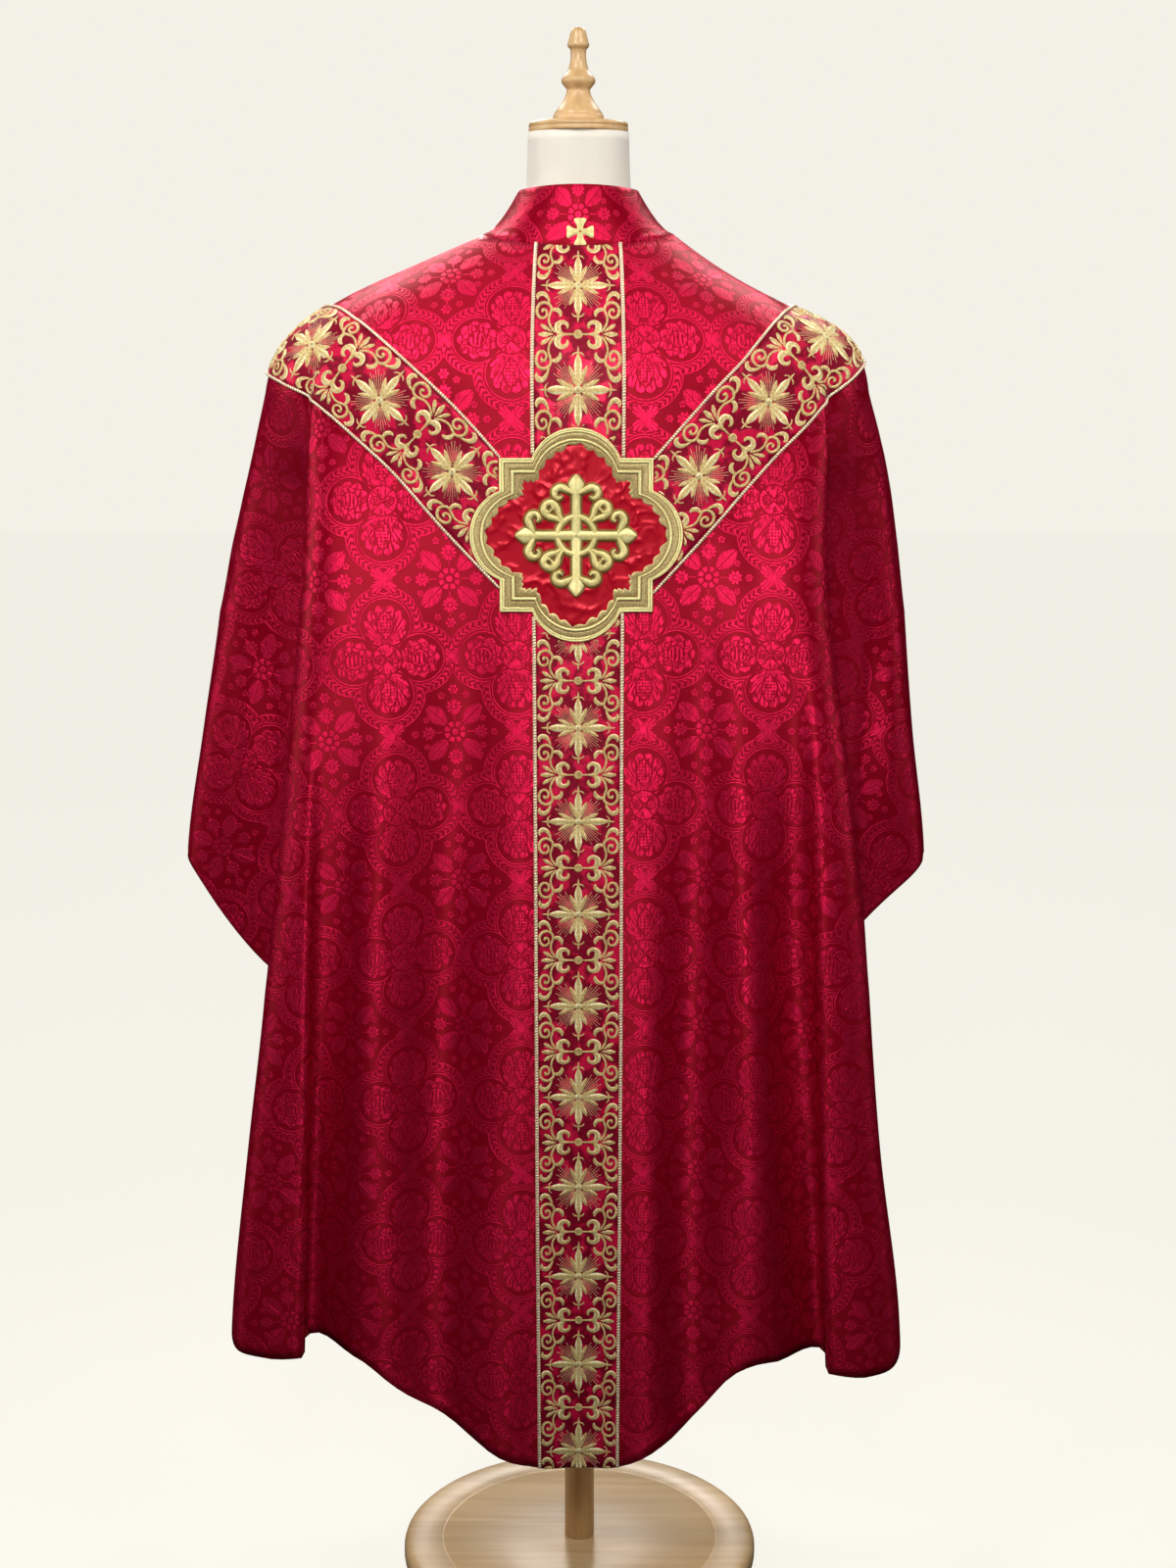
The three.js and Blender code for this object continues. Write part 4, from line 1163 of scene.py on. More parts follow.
def cord_finish():
    """A cord of two strands: the flat coordinates are the way round it and its length."""
    finish = Finish("cord_gold", roughness=0.4, metallic=0.3, sheen=0.15, sheen_tint=(1.0, 0.92, 0.75))
    twist = ((finish.down * 2.1 + finish.across * 0.55)).sine()
    finish.colour(twist.above(-0.55, 0.7))
    finish.relief(twist, 0.35, 0.9)
    return finish.material


# The medallion's border, from its outer edge in: where each tone starts, in millimetres, and how bright it is
BORDER_TONES = [
    (0.0, 0.7), (1.2, 1.0), (2.1, 0.9), (2.6, 0.05), (3.1, 0.95), (4.6, 0.9), (5.3, 0.02), (6.4, 0.36),
    (11.0, 0.24), (11.9, 0.0), (12.6, 0.85), (14.8, 1.0), (15.7, 0.0), (17.0, 0.22), (22.5, 0.32),
    (24.2, 0.8),
]


def border_finish():
    finish = Finish("border_gold", metallic=0.3, sheen=0.15, sheen_tint=GOLD_SHEEN)
    ramp = finish.tree.nodes.new("ShaderNodeValToRGB")
    scaled = finish.down * (1 / MEDALLION["border"])
    finish.tree.links.new(scaled.socket, ramp.inputs[0])
    elements = ramp.color_ramp.elements
    while len(elements) < len(BORDER_TONES):
        elements.new(0.5)
    for element, (inset, tone) in zip(elements, BORDER_TONES):
        element.position = inset / MEDALLION["border"]
        element.color = (tone, tone, tone, 1)
    tone = Field(finish.tree, ramp.outputs[0])
    specks = finish.cloud(520, 3)
    stitches = (finish.across * (2 * math.pi / 0.8)).sine()
    finish.colour((tone + (specks - 0.5) * 1.1 + stitches * 0.05).clipped())
    finish.number("Roughness", specks * 0.3 + 0.24)
    finish.relief(stitches * 0.3 + specks * 1.5, 0.3, 0.8)
    return finish.material


def red_satin_finish():
    finish = Finish("red_satin", roughness=0.3, metallic=0.25, sheen=0.08, sheen_tint=(1.0, 0.25, 0.25))
    finish.fix("Specular IOR Level", 0.15)
    finish.colour(finish.cloud(30, 2))
    ribs = (finish.down * 9).sine() * 0.05
    finish.relief(finish.cloud(160, 2) * 0.5 + ribs, 0.2, 0.5)
    return finish.material


def linen_finish():
    finish = Finish("form_cloth", roughness=0.85, sheen=0.2, sheen_roughness=0.6)
    mottle = finish.cloud(40, 4, on_cloth=False)
    finish.colour(mottle)
    weave = (finish.across * 5).sine() * (finish.down * 5).sine()
    finish.relief(weave * 0.5 + mottle, 0.25, 0.6)
    return finish.material


def wood_finish(name, lie):
    """Clear lacquered wood, its grain long where lie is small."""
    finish = Finish(name, roughness=0.38)
    grain = finish.cloud(16, 4, lie, on_cloth=False)
    fine = finish.cloud(150, 3, tuple(x * x for x in lie), on_cloth=False)
    rings = (grain * 42).sine() * 0.5 + 0.5
    finish.colour((rings * 0.3 + fine * 0.7).clipped())
    finish.number("Roughness", fine * 0.25 + 0.3)
    finish.relief(fine, 0.15, 0.4)
    finish.fix("Coat Weight", 0.25)
    finish.fix("Coat Roughness", 0.25)
    return finish.material


def floor_finish():
    finish = Finish("floor", roughness=0.9)
    finish.colour(finish.cloud(2.5, 3, on_cloth=False))
    finish.fix("Emission Color", (*PAPER, 1))
    finish.fix("Emission Strength", FLOOR_GLOW)
    return finish.material


def finished(obj, slot, *nodes):
    """Makes a piece ride with the object and stand for nodes of the solids, which it hides; the slot is not
    used.
    """
    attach(obj, "root")
    if nodes:
        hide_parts(*nodes)
    return obj


damask = damask_finish()
band_satin = satin_ground_finish()
gold = stitched_finish("gold_thread", 0.08)
ray_gold = stitched_finish("ray_gold", 0.15)
padded_gold = stitched_finish("padded_gold", 0.35, thread=0.7, rib=0.3)
edge_gold = stitched_finish("edge_gold", 0.3)
cord_gold = cord_finish()
border_gold = border_finish()
red_satin = red_satin_finish()
linen = linen_finish()
wood = wood_finish("light_wood", (1, 1, 0.1))
board = wood_finish("base_wood", (0.1, 1, 1))


# The panels and the collar
cloths = {face: Cloth(face) for face in (-1, 1)}
flats = {face: Flat(cloth, grid_uv(cloth)) for face, cloth in cloths.items()}
side_name = {-1: "back", 1: "front"}


def panel(face):
    cloth = cloths[face]
    inner = cloth.points - cloth.normals * WALL
    made = shell(cloth.points, inner, flats[face].uv, flip=face < 0)
    return finished(add_mesh(f"{side_name[face]}_cloth", *made, damask), "damask", f"{side_name[face]}_panel")


panels = {face: panel(face) for face in (-1, 1)}

collar = Collar()
turn = lengths_along(collar.points[COLLAR_ROWS // 2])
fall = lengths_along(collar.points[:, 2 * COLLAR_QUARTER])
collar_uv = np.stack(np.meshgrid(turn - turn[-1] / 2, fall), axis=2)
collar_made = shell(collar.points, collar.points - collar.normals * COLLAR_WALL, collar_uv, flip=True)
collar_piece = finished(add_mesh("collar_cloth", *collar_made, damask), "damask", "collar")


# The embroidered bands
BAND_LOW, BAND_HIGH = 0.3, 1.6
BAND_COLUMNS = 16
BAND_ROW = 7
ARM_REACH = 260
ARM_FOOT = 1129
BAND_START = -70
HALVINGS = 16


BAND_ACROSS = np.linspace(BAND_HALF, -BAND_HALF, BAND_COLUMNS + 1)
BAND_EDGES = (BAND_HALF, -BAND_HALF)
END_GAP = 0.05


def edge_along(strip, across, low, high, passed):
    """How far along the band the test changes, between a place where it fails and one where it passes."""
    for _ in range(HALVINGS):
        middle = (low + high) / 2
        if passed(strip.point(across, middle, 0)):
            high = middle
        else:
            low = middle
    return (low + high) / 2


def off_cloth(point):
    return point is None


LOBE_STEPS = 96
CORNER_STEPS = 14
# How much a lobe's radius and its distance from the centre shrink for each millimetre drawn in
LOBE_SHRINK, LOBE_RETREAT = 0.38, 0.52


def medallion_shape(inset):
    """Half the square, the lobe's radius and its distance from the centre, drawn in by inset."""
    return (MEDALLION["square"] - inset, MEDALLION["lobe"] - LOBE_SHRINK * inset,
            MEDALLION["lobeAt"] - LOBE_RETREAT * inset)


def medallion_outline(inset):
    """The medallion's outline drawn in by inset, as points round its centre."""
    half, radius, lobe_at = medallion_shape(inset)
    meet = math.acos((half - lobe_at) / radius)

    def on_lobe(facing, angle):
        return (lobe_at * math.cos(facing) + radius * math.cos(facing + angle),
                lobe_at * math.sin(facing) + radius * math.sin(facing + angle))

    points = []
    for lobe in range(4):
        facing, following = lobe * math.pi / 2, (lobe + 1) * math.pi / 2
        points += [on_lobe(facing, mix(-meet, meet, step / LOBE_STEPS)) for step in range(LOBE_STEPS + 1)]
        corner, reach = facing + math.pi / 4, half * math.sqrt(2)
        first, last = points[-1], (reach * math.cos(corner), reach * math.sin(corner))
        again = on_lobe(following, -meet)
        shares = [step / CORNER_STEPS for step in range(1, CORNER_STEPS + 1)]
        points += [(mix(first[0], last[0], share), mix(first[1], last[1], share)) for share in shares]
        points += [(mix(last[0], again[0], share), mix(last[1], again[1], share)) for share in shares[:-1]]
    return points


def in_medallion(x, z, inset):
    """Whether a point is inside the medallion's outline drawn in by inset."""
    a, b = abs(x - MEDALLION["x"]), abs(z - MEDALLION["z"])
    half, radius, lobe_at = medallion_shape(inset)
    high, low = max(a, b), min(a, b)
    return high < half or math.hypot(high - lobe_at, low) < radius


def band_piece(name, strip, low_end, high_end, node):
    """The satin ground of a band between two ends, each a length along for a distance across."""
    cloth = strip.flat.cloth
    starts = [low_end(a) for a in BAND_ACROSS]
    stops = [high_end(a) for a in BAND_ACROSS]
    count = max(int((max(stops) - min(starts)) / BAND_ROW), 2)
    outer = np.zeros((count + 1, len(BAND_ACROSS), 3))
    inner = np.zeros_like(outer)
    uv = np.zeros((count + 1, len(BAND_ACROSS), 2))
    for i, a in enumerate(BAND_ACROSS):
        for j in range(count + 1):
            s = mix(starts[i] + END_GAP, stops[i] - END_GAP, j / count)
            place = strip.place(a, s)
            outer[j, i] = cloth.at(*place, BAND_HIGH)
            inner[j, i] = cloth.at(*place, BAND_LOW)
            uv[j, i] = (a, s)
    piece = add_mesh(name, *shell(outer, inner, uv, cloth.face < 0), band_satin)
    return finished(piece, "orphrey", node)


CORD_SIDES = 7


def tube(points, ups, radius):
    """A cord through points in millimetres. The UV is the way round and the length, both in millimetres."""
    p = np.array(points)
    ahead = np.gradient(p, axis=0)
    ahead /= np.linalg.norm(ahead, axis=1, keepdims=True)
    side = np.cross(ahead, np.array(ups))
    side /= np.linalg.norm(side, axis=1, keepdims=True)
    up = np.cross(side, ahead)
    gone = lengths_along(p)
    made, uvs, faces = [], [], []
    width = CORD_SIDES + 1
    for k in range(len(p)):
        for m in range(width):
            angle = 2 * math.pi * m / CORD_SIDES
            made.append(p[k] + radius * (side[k] * math.cos(angle) + up[k] * math.sin(angle)))
            uvs.append((radius * angle, gone[k]))
    for a in range(0, (len(p) - 1) * width, width):
        faces += [(a + m, a + width + m, a + width + m + 1, a + m + 1) for m in range(CORD_SIDES)]
    last = (len(p) - 1) * width
    faces.append(tuple(range(CORD_SIDES)))
    faces.append(tuple(reversed(range(last, last + CORD_SIDES))))
    return made, faces, uvs


CORD_STEP = 3


def cord_along(strip, across, start, stop, radius, lift):
    points, ups = [], []
    for s in np.linspace(start, stop, max(int((stop - start) / CORD_STEP), 3)):
        place = strip.place(across, s)
        if place is None:
            continue
        point = strip.flat.cloth.at(*place, lift)
        points.append(point)
        ups.append(point - strip.flat.cloth.at(*place, lift - 1))
    return tube(points, ups, radius)


STAR, BOW, STAR_RAYS = star_part(), bow_part(), rays_part()
# Edge cords: radius, and how high they lie on the band
CORD = {"centre": (1.9, 1.0), "arm": (1.5, 0.8)}


def sewn_band(name, node, strip, ends, stars, cords, kind, left_out):
    """A band with its raised gold work: stars at lengths along it, a bow between each two, and edge cords."""
    piece = band_piece(name, strip, *ends, node)
    raised, rays = [], []
    steps = [b - a for a, b in zip(stars, stars[1:])]
    for s, step in zip(stars, steps + steps[-1:]):
        raised.append(laid(strip, STAR, s, step / PITCH, BAND_HIGH, left_out))
        rays.append(laid(strip, STAR_RAYS, s, step / PITCH, BAND_HIGH, left_out))
    edges = [stars[0] - steps[0]] + stars + [stars[-1] + steps[-1]]
    for a, b in zip(edges, edges[1:]):
        raised.append(laid(strip, BOW, (a + b) / 2, (b - a) / PITCH, BAND_HIGH, left_out))
    radius, lift = CORD[kind]
    edging = [cord_along(strip, *cord, radius, BAND_HIGH + lift) for cord in cords]
    [
        finished(add_mesh(f"{name}_{part}", *joined(made), material), "gold_thread")
        for part, made, material in (
            ("embroidery", raised, gold), ("rays", rays, ray_gold), ("cords", edging, cord_gold),
        )
    ]


def height_along(strip, z, far):
    """How far along a band its middle reaches a height, for a band that runs down."""
    return edge_along(strip, 0, 0, far, lambda point: point is None or point[2] < z)


BORDER_GAP = 0.6


def covered(point):
    return in_medallion(point[0], point[2], -BORDER_GAP)


def uncovered(point):
    return not covered(point)


def never(point):
    return False


def past_border(point):
    """Whether a point is where a band of the back may start: above the bands' foot and off the medallion."""
    if point is None or point[2] <= ARM_FOOT:
        return False
    return not in_medallion(point[0], point[2], MEDALLION["border"] / 2)


def past_front_band(point):
    return point is None or abs(point[0]) > BAND_HALF + FRONT_BAND_GAP


def on_front_band(point):
    return abs(point[0]) < BAND_HALF + FRONT_STITCH_GAP


# Where the front's arm bands start beside its centre band, and where their stitching does
FRONT_BAND_GAP, FRONT_STITCH_GAP = 2.2, 3
# Lengths along a band: a place inside it to search up from, one to search down from, and past its ends
INSIDE_TOP, INSIDE_FOOT, PAST_END = 200, 600, 60
# From a band's end to a cord's tip, and how far past a start its uncovered edge is searched for
CORD_INSET = {"centre": 1, "arm": 0.5}
LAP_SEARCH = {"centre": 90, "arm": 60, "start": 110}
STATION_ROWS = 6
# Stars: X and Z of an arm band's first one on the back, heights on the centre bands and steps between stars
ARM_STARS = {"left": (-127.6, 1268), "right": (124, 1265), "step": 100, "most": 5, "past": 30}
UPPER_STARS = (1453.5, 1350.6)
LOWER_STARS = {"top": 1105.3, "step": 97.7, "count": 10}
FRONT_STARS = {"first": 52, "end": 40}


def centre_bands(face):
    """The band down a panel's middle, which on the back is two: above and below the medallion."""
    cloth, flat = cloths[face], flats[face]
    strip = Strip(flat, flat.uv[::STATION_ROWS, cloth.middle])
    top = {a: edge_along(strip, a, INSIDE_TOP, -PAST_END, off_cloth) for a in BAND_ACROSS}
    bottom = {a: edge_along(strip, a, INSIDE_FOOT, strip.length + PAST_END, off_cloth) for a in BAND_ACROSS}
    inset = CORD_INSET["centre"]
    if face > 0:
        count = int((strip.length - FRONT_STARS["end"]) / LOWER_STARS["step"])
        stars = [FRONT_STARS["first"] + LOWER_STARS["step"] * k for k in range(count + 1)]
        cords = [(a, top[a] + inset, bottom[a] - inset) for a in BAND_EDGES]
        sewn_band("front_band", "orphrey_front", strip, (top.get, bottom.get), stars, cords, "centre", never)
        return

    def reach(z):
        return height_along(strip, z, strip.length)

    lap = MEDALLION["bandLap"]
    stop, start = reach(MEDALLION["z"] + lap), reach(MEDALLION["z"] - lap)
    stars = [reach(z) for z in UPPER_STARS]
    cords = [(a, top[a] + inset, edge_along(strip, a, 0, stop, covered)) for a in BAND_EDGES]
    ends = (top.get, lambda a: stop)
    sewn_band("back_band_upper", "orphrey_back_upper", strip, ends, stars, cords, "centre", covered)
    stars = [reach(LOWER_STARS["top"] - LOWER_STARS["step"] * k) for k in range(LOWER_STARS["count"])]
    cords = [
        (a, edge_along(strip, a, start, start + LAP_SEARCH["centre"], uncovered), bottom[a] - inset)
        for a in BAND_EDGES
    ]
    ends = (lambda a: start, bottom.get)
    sewn_band("back_band_lower", "orphrey_back_lower", strip, ends, stars, cords, "centre", covered)


def arm_band(face, hand):
    """The band that crosses a shoulder, from the medallion or the front's centre band to the panel's edge."""
    cloth, flat = cloths[face], flats[face]
    outward = -1 if hand == "left" else 1
    stations = []
    for low_x, low_z, high_x, high_z in ARMS[hand]:
        edges = [cloth.place_of(outward * x, z) for x, z in ((low_x, low_z), (high_x, high_z))]
        stations.append((flat.at(*edges[0]) + flat.at(*edges[1])) / 2)
    arm = Strip(flat, stations, ARM_REACH)
    started, left_out, before = (past_border, covered, 0) if face < 0 else (past_front_band, on_front_band, 1)
    starts = {a: edge_along(arm, a, BAND_START, LAP_SEARCH["start"], started) for a in BAND_ACROSS}
    stops = {a: edge_along(arm, a, INSIDE_TOP, arm.length, off_cloth) for a in BAND_ACROSS}
    first_place = flat.at(*cloth.place_of(*ARM_STARS[hand]))
    first = arm.knots[np.linalg.norm(arm.line - first_place, axis=1).argmin()]
    stars = [first + ARM_STARS["step"] * k for k in range(-before, ARM_STARS["most"])]
    stars = [s for s in stars if s < max(stops.values()) + ARM_STARS["past"]]
    cords = []
    for a in BAND_EDGES:
        foot = starts[a]
        if face < 0:
            foot = edge_along(arm, a, foot, foot + LAP_SEARCH["arm"], uncovered)
        cords.append((a, foot, stops[a] - CORD_INSET["arm"]))
    name = f"{side_name[face]}_band_{hand}"
    node = f"orphrey_arm_{side_name[face]}_{hand}"
    sewn_band(name, node, arm, (starts.get, stops.get), stars, cords, "arm", left_out)


for face in (-1, 1):
    centre_bands(face)
    for hand in ("left", "right"):
        arm_band(face, hand)


def pinned(part, x, z, lift):
    """A flat part pinned to the back cloth round a place seen at X and Z."""
    points, faces, uvs = part
    placed = [cloths[-1].seen_at(x - a, z - s, lift + h) for a, s, h in points]
    return placed, faces, uvs


# The medallion on the back
FIELD_LOW = 1.9
FIELD_RINGS = 44
FIELD_THICK = 0.9
FIELD_LAP = 6
# The border's section: how far in from its outer edge, and height off the cloth
BORDER_PROFILE = [
    (0.0, 1.9), (0.0, 3.0), (0.5, 4.4), (1.4, 4.9), (2.3, 4.4), (2.6, 4.0), (2.9, 4.4), (3.8, 4.9),
    (4.7, 4.4), (5.1, 3.6), (6.5, 4.3), (8.5, 4.7), (10.5, 4.5), (11.8, 3.8), (12.2, 4.6), (13.1, 5.4),
    (14.2, 5.4), (15.1, 4.5), (15.5, 3.7), (17.0, 4.2), (19.5, 4.5), (22.0, 4.3), (24.2, 3.6), (25.0, 2.7),
    (25.0, 1.9),
]
SCALLOP = {"width": 13, "depth": 3.8, "from": 15.5}
LOBE_TIP = {"push": 4.5, "spread": 0.2}
PUCKER = {"scale": 0.045, "height": 1.7, "rim": 0.8}


def scalloped(a, b, gone, inset):
    """A point of the border's inner part, moved out at the notches of the scallops and at the lobes' tips."""
    share = (inset - SCALLOP["from"]) / (MEDALLION["border"] - SCALLOP["from"])
    notch = 1 - abs(math.sin(math.pi * gone / SCALLOP["width"]))
    turn = math.atan2(b, a) % (math.pi / 2)
    tip = bump(min(turn, math.pi / 2 - turn) / LOBE_TIP["spread"])
    reach = math.hypot(a, b)
    longer = 1 + share * (SCALLOP["depth"] * notch + LOBE_TIP["push"] * tip) / reach
    return a * longer, b * longer


def pucker(a, b, share):
    """How high the field's satin stands: wrinkles that run in from its edge, and a dip along the edge."""
    wander = Vector((a * PUCKER["scale"], b * PUCKER["scale"], 0.3))
    fold = 1 - 2 * abs(noise.noise(wander)) - abs(noise.noise(wander * 2.3))
    return PUCKER["height"] * max(fold, 0) ** 1.5 * (1 - PUCKER["rim"] * share ** 8)


def medallion_border():
    outlines = [medallion_outline(inset) for inset, _ in BORDER_PROFILE]
    count = len(outlines[0])
    gone = lengths_along(outlines[0])
    points, uvs, faces = [], [], []
    for row, (inset, height) in enumerate(BORDER_PROFILE):
        for k in range(count):
            a, b = outlines[row][k]
            if inset > SCALLOP["from"]:
                a, b = scalloped(a, b, gone[k], inset)
            points.append(cloths[-1].seen_at(MEDALLION["x"] + a, MEDALLION["z"] + b, height))
            uvs.append((gone[k], inset))
    rows = len(BORDER_PROFILE)
    for row in range(rows):
        for k in range(count):
            a, b = row * count, (row + 1) % rows * count
            faces.append((a + k, a + (k + 1) % count, b + (k + 1) % count, b + k))
    return points, faces, uvs


def medallion_field():
    outline = medallion_outline(MEDALLION["border"] - FIELD_LAP)
    count = len(outline)
    points, uvs, faces = [], [], []
    for low in (0, 1):
        for ring in range(FIELD_RINGS + 1):
            share = ring / FIELD_RINGS
            for k in range(count):
                a, b = outline[k][0] * share, outline[k][1] * share
                height = FIELD_LOW if low else FIELD_LOW + FIELD_THICK + pucker(a, b, share)
                points.append(cloths[-1].seen_at(MEDALLION["x"] + a, MEDALLION["z"] + b, height))
                uvs.append((a, b))
    layer = (FIELD_RINGS + 1) * count
    for ring in range(FIELD_RINGS):
        for k in range(count):
            a, b = ring * count + k, ring * count + (k + 1) % count
            faces.append((a, b, b + count, a + count))
            faces.append((layer + a, layer + a + count, layer + b + count, layer + b))
    for k in range(count):
        a, b = FIELD_RINGS * count + k, FIELD_RINGS * count + (k + 1) % count
        faces.append((a, b, layer + b, layer + a))
    return points, faces, uvs


border_piece = add_mesh("medallion_edging", *medallion_border(), border_gold)
finished(border_piece, "gold_thread", "medallion_border")
field_piece = add_mesh("medallion_satin", *medallion_field(), red_satin)
finished(field_piece, "red_satin", "medallion_field")

# The padded ornament: rows of distance out, distance to the side and half width, for one arm of the cross
ORNAMENT_ARM = [(0, 0, 5.4), (14, 0, 4.8), (34, 0, 4.4), (45, 0, 5.2), (51, 0, 8.2), (56, 0, 6.0),
                (62, 0, 0.8)]
ORNAMENT_CURL = [(42, 2, 1.6), (46, 9, 3.2), (48.5, 16, 3.8), (45, 21.6, 3.4), (39.4, 21.2, 2.6),
                 (37.6, 16.8, 2.2), (40.4, 13.8, 1.0)]
ORNAMENT_SCROLL = [(13, 12, 1.4), (20, 17, 2.6), (28, 19.5, 3.2), (33, 25, 3.4), (31.4, 31, 3.0),
                   (26, 32.2, 2.4), (23.4, 28.2, 1.9), (26, 25, 0.9)]
ORNAMENT_HEIGHT = 3.6
ORNAMENT_LIFT = 3.6
HOOP = {"radius": 19, "half": 2.9}
OUTLINE_CORD = {"wider": 2.0, "height": 1.9}


def medallion_ornament(wider=0, height=ORNAMENT_HEIGHT):
    parts = []

    def stroke(rows, steps, share=1.0):
        wide = [(a, s, half + wider) for a, s, half in rows]
        return ribbon(wide, height * share, PADDED_SECTION, steps)

    for quarter in range(4):
        parts.append(turned_by(stroke(ORNAMENT_ARM, 28), quarter))
        for along in (1, -1):
            parts.append(turned_by(mirrored(stroke(ORNAMENT_CURL, 24), 1, along), quarter))
            parts.append(turned_by(mirrored(stroke(ORNAMENT_SCROLL, 26, 0.9), 1, along), quarter))
    angles = np.linspace(0, 2 * math.pi, 41)
    ring = [(HOOP["radius"] * math.cos(t), HOOP["radius"] * math.sin(t), HOOP["half"]) for t in angles]
    parts.append(stroke(ring, 96, 0.9))
    parts.append(dome(0, 0, 6.4 + wider, height * 1.15, 20))
    return joined(parts)


for name, part, material in (
    ("medallion_cross", medallion_ornament(), padded_gold),
    ("medallion_cross_edge", medallion_ornament(OUTLINE_CORD["wider"], OUTLINE_CORD["height"]), edge_gold),
):
    placed = pinned(part, MEDALLION["x"], MEDALLION["z"], ORNAMENT_LIFT)
    finished(add_mesh(name, *placed, material), "gold_thread", "medallion_ornament")

# The small cross on the collar
CROSS_ARM = [(1, 0, 2.8), (4, 0, 3.0), (7, 0, 3.6), (10.5, 0, 5.8), (12.6, 0, 6.2), (13.6, 0, 5.4)]


def neck_cross():
    points, faces, uvs = joined([turned_by(ribbon(CROSS_ARM, 1.6, ROUND_SECTION, 12), q) for q in range(4)])
    placed = [collar.seen_at(NECK_CROSS["x"] - a, NECK_CROSS["z"] - s, 0.4 + h) for a, s, h in points]
    return placed, faces, uvs


cross_piece = finished(add_mesh("collar_cross", *neck_cross(), padded_gold), "gold_thread", "neck_cross")


# The dress form
def ring_round(half_width, half_depth, z, steps, squareness):
    power = 2 / squareness
    ring = []
    for k in range(steps):
        angle = 2 * math.pi * k / steps
        c, s = math.cos(angle), math.sin(angle)
        out_x, out_y = half_width * abs(c) ** power, half_depth * abs(s) ** power
        ring.append((math.copysign(out_x, c), math.copysign(out_y, s), z))
    return ring


def turned_piece(name, profile, material, slot, node, steps, squareness=2.0):
    """A closed piece through level rings: rows of height, half width and half depth."""
    points, uvs, faces = [], [], []
    gone = 0
    for j, (z, half_width, half_depth) in enumerate(profile):
        if j:
            gone += math.hypot(z - profile[j - 1][0], half_width - profile[j - 1][1])
        points += ring_round(half_width, half_depth, z, steps, squareness)
        uvs += [(2 * math.pi * half_width * k / steps, gone) for k in range(steps)]
    top = (len(profile) - 1) * steps
    for a in range(0, top, steps):
        for k in range(steps):
            b = (k + 1) % steps
            faces.append((a + k, a + b, a + b + steps, a + k + steps))
    faces.append(tuple(reversed(range(steps))))
    faces.append(tuple(range(top, top + steps)))
    return finished(add_mesh(name, points, faces, uvs, material), slot, node)


torso_rings = path_through(TORSO, TORSO_RINGS * (len(TORSO) - 1))
torso = turned_piece("torso_cover", torso_rings, linen, "form_cloth", "form_torso", TORSO_STEPS,
                     TORSO_SQUARENESS)

# The turned wood: rows of height and radius, each piece from its own underside
NECK_CAP_Z, FINIAL_Z, POLE_Z = 1612.3, 1623.6, 22.3
NECK_CAP = [
    (0, 50), (0.4, 51.6), (1.4, 52), (4.6, 52), (5.2, 51.2), (5.8, 52), (8.0, 52), (9.8, 51), (10.7, 49.2),
    (11, 47), (11, 31),
]
FINIAL = [
    (0, 26.4), (1.0, 27), (3.6, 26.8), (6.6, 26.1), (7.2, 25.2), (8.0, 25.2), (12, 22.4), (18, 18),
    (24, 14.4), (29, 12.5), (31.5, 12.2), (33, 12.8), (35, 14.6), (38, 17), (40.5, 17.9), (43, 17.4),
    (47, 14.5), (50, 12.0), (53, 10.4), (60, 8.6), (66, 8.0), (71, 8.2), (73, 9), (74.2, 10.4),
    (75.5, 11.2), (77.5, 11.4), (79, 10.8), (85, 9.2), (90, 7.9), (92.6, 6.8), (93.9, 4.8), (94.3, 2.4),
]
POLE = [(0, 16.2), (0.8, 17), (676.6, 17), (677.4, 16.2)]
BASE = [
    (0, 199), (0.8, 202.6), (3.2, 204.6), (6, 205), (15, 205), (18.4, 204), (20.8, 201.6), (21.8, 198.4),
    (22, 194), (22, 163), (21.2, 161.6), (20.9, 160), (21.2, 158.4), (22, 157), (22, 60), (22, 19),
]
TURNED_STEPS = 96


def turned_wood(name, bottom, rows, node, material):
    rings = [(bottom + z, r, r) for z, r in rows]
    return turned_piece(name, rings, material, "light_wood", node, TURNED_STEPS)


turned_wood("neck_cap", NECK_CAP_Z, NECK_CAP, "form_neck_cap", wood)
turned_wood("finial", FINIAL_Z, FINIAL, "form_finial", wood)
turned_wood("pole", POLE_Z, POLE, "form_pole", wood)
turned_wood("base", 0, BASE, "form_base", board)


# Camera, light and floor: the pale ground doesn't light the cloth, which the lamps alone do
FLOOR_HALF = 14
LIGHT_TINT = (1, 0.985, 0.955)
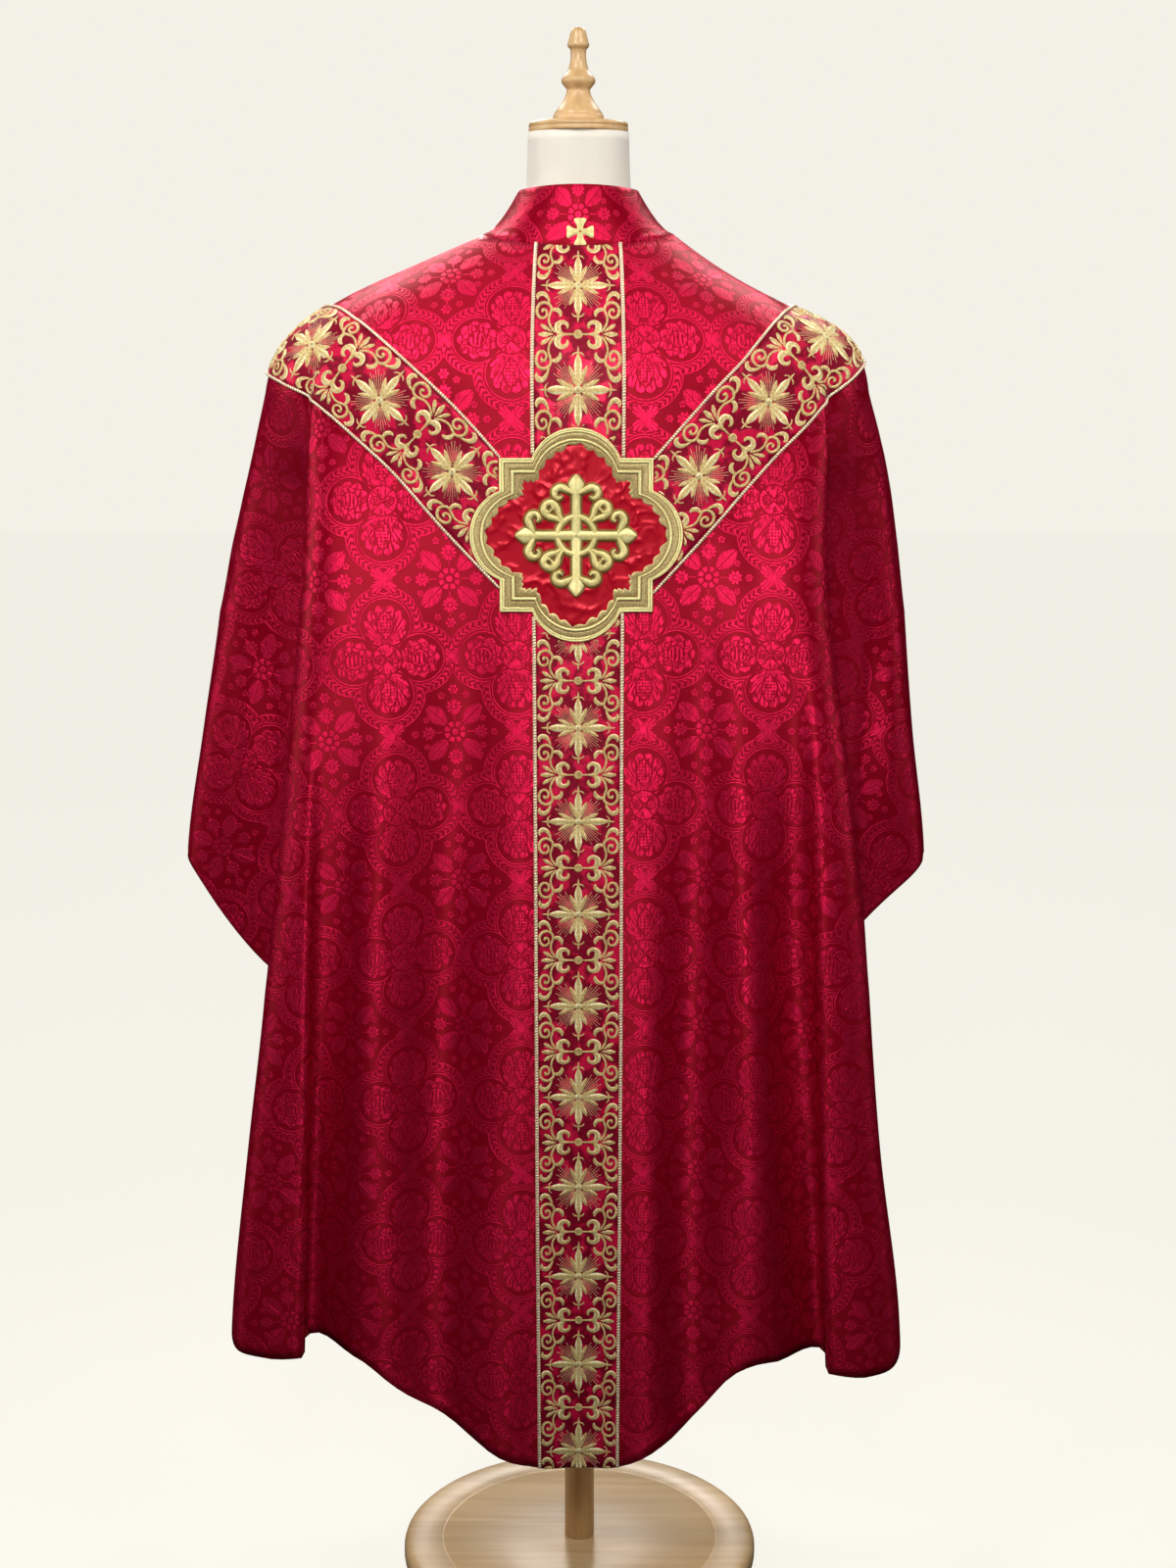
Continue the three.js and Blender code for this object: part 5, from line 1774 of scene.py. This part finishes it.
# Soft boxes: name, place, the point they shine on, width, height, power in watts and spread in degrees.
# The first four light the back, and four like them the front.
BACK_LAMPS = [
    ("key", (-0.1, -2.7, 2.3), (0, 0, 1.15), 0.7, 0.6, 7.6, 68),
    ("high_left", (-0.9, -1.3, 2.8), (-0.1, 0, 1.2), 0.5, 0.5, 3.4, 70),
    ("high_right", (0.9, -1.3, 2.8), (0.1, 0, 1.2), 0.5, 0.5, 2.8, 70),
    ("fill", (0, -4.4, 1.5), (0, 0, 0.8), 3.0, 2.0, 7, 180),
]
SIDE_LAMPS = [
    ("side_left", (-3.0, 0, 2.1), (0, 0, 1.1), 0.7, 1.6, 34, 180),
    ("side_right", (3.0, 0, 2.1), (0, 0, 1.1), 0.7, 1.6, 22, 180),
]
CAMERA = {"place": (0.010, -2.545, 1.413), "tilt": 79, "lens": 54, "sensor": 36}


def floor():
    mesh = bpy.data.meshes.new("floor")
    corners = [(x * FLOOR_HALF, y * FLOOR_HALF, 0) for x, y in ((-1, -1), (1, -1), (1, 1), (-1, 1))]
    mesh.from_pydata(corners, [], [(0, 1, 2, 3)])
    mesh.materials.append(floor_finish())
    obj = linked("floor", mesh)
    obj.visible_diffuse = obj.visible_glossy = False


def softbox(name, place, target, width, height, power, spread):
    data = bpy.data.lights.new(name, "AREA")
    data.shape = "ELLIPSE"
    data.size, data.size_y = width, height
    data.energy = power
    data.spread = math.radians(spread)
    data.color = LIGHT_TINT
    obj = linked(name, data)
    obj.location = place
    obj.rotation_euler = (Vector(target) - Vector(place)).to_track_quat("-Z", "Y").to_euler()


floor()
for name, (x, y, z), *rest in BACK_LAMPS:
    softbox(f"back_{name}", (x, y, z), *rest)
    softbox(f"front_{name}", (x, -y, z), *rest)
for lamp in SIDE_LAMPS:
    softbox(*lamp)

world = bpy.data.worlds.new("studio")
world.use_nodes = True
world.node_tree.nodes["Background"].inputs["Color"].default_value = (*PAPER, 1)
world.node_tree.nodes["Background"].inputs["Strength"].default_value = 1
world.cycles_visibility.diffuse = world.cycles_visibility.glossy = False
bpy.context.scene.world = world

camera_data = bpy.data.cameras.new("camera")
camera_data.lens = CAMERA["lens"]
camera_data.sensor_width = CAMERA["sensor"]
camera = linked("camera", camera_data)
camera.location = CAMERA["place"]
camera.rotation_euler = (math.radians(CAMERA["tilt"]), 0, 0)
bpy.context.scene.camera = camera
bpy.context.scene.view_settings.view_transform = "Standard"
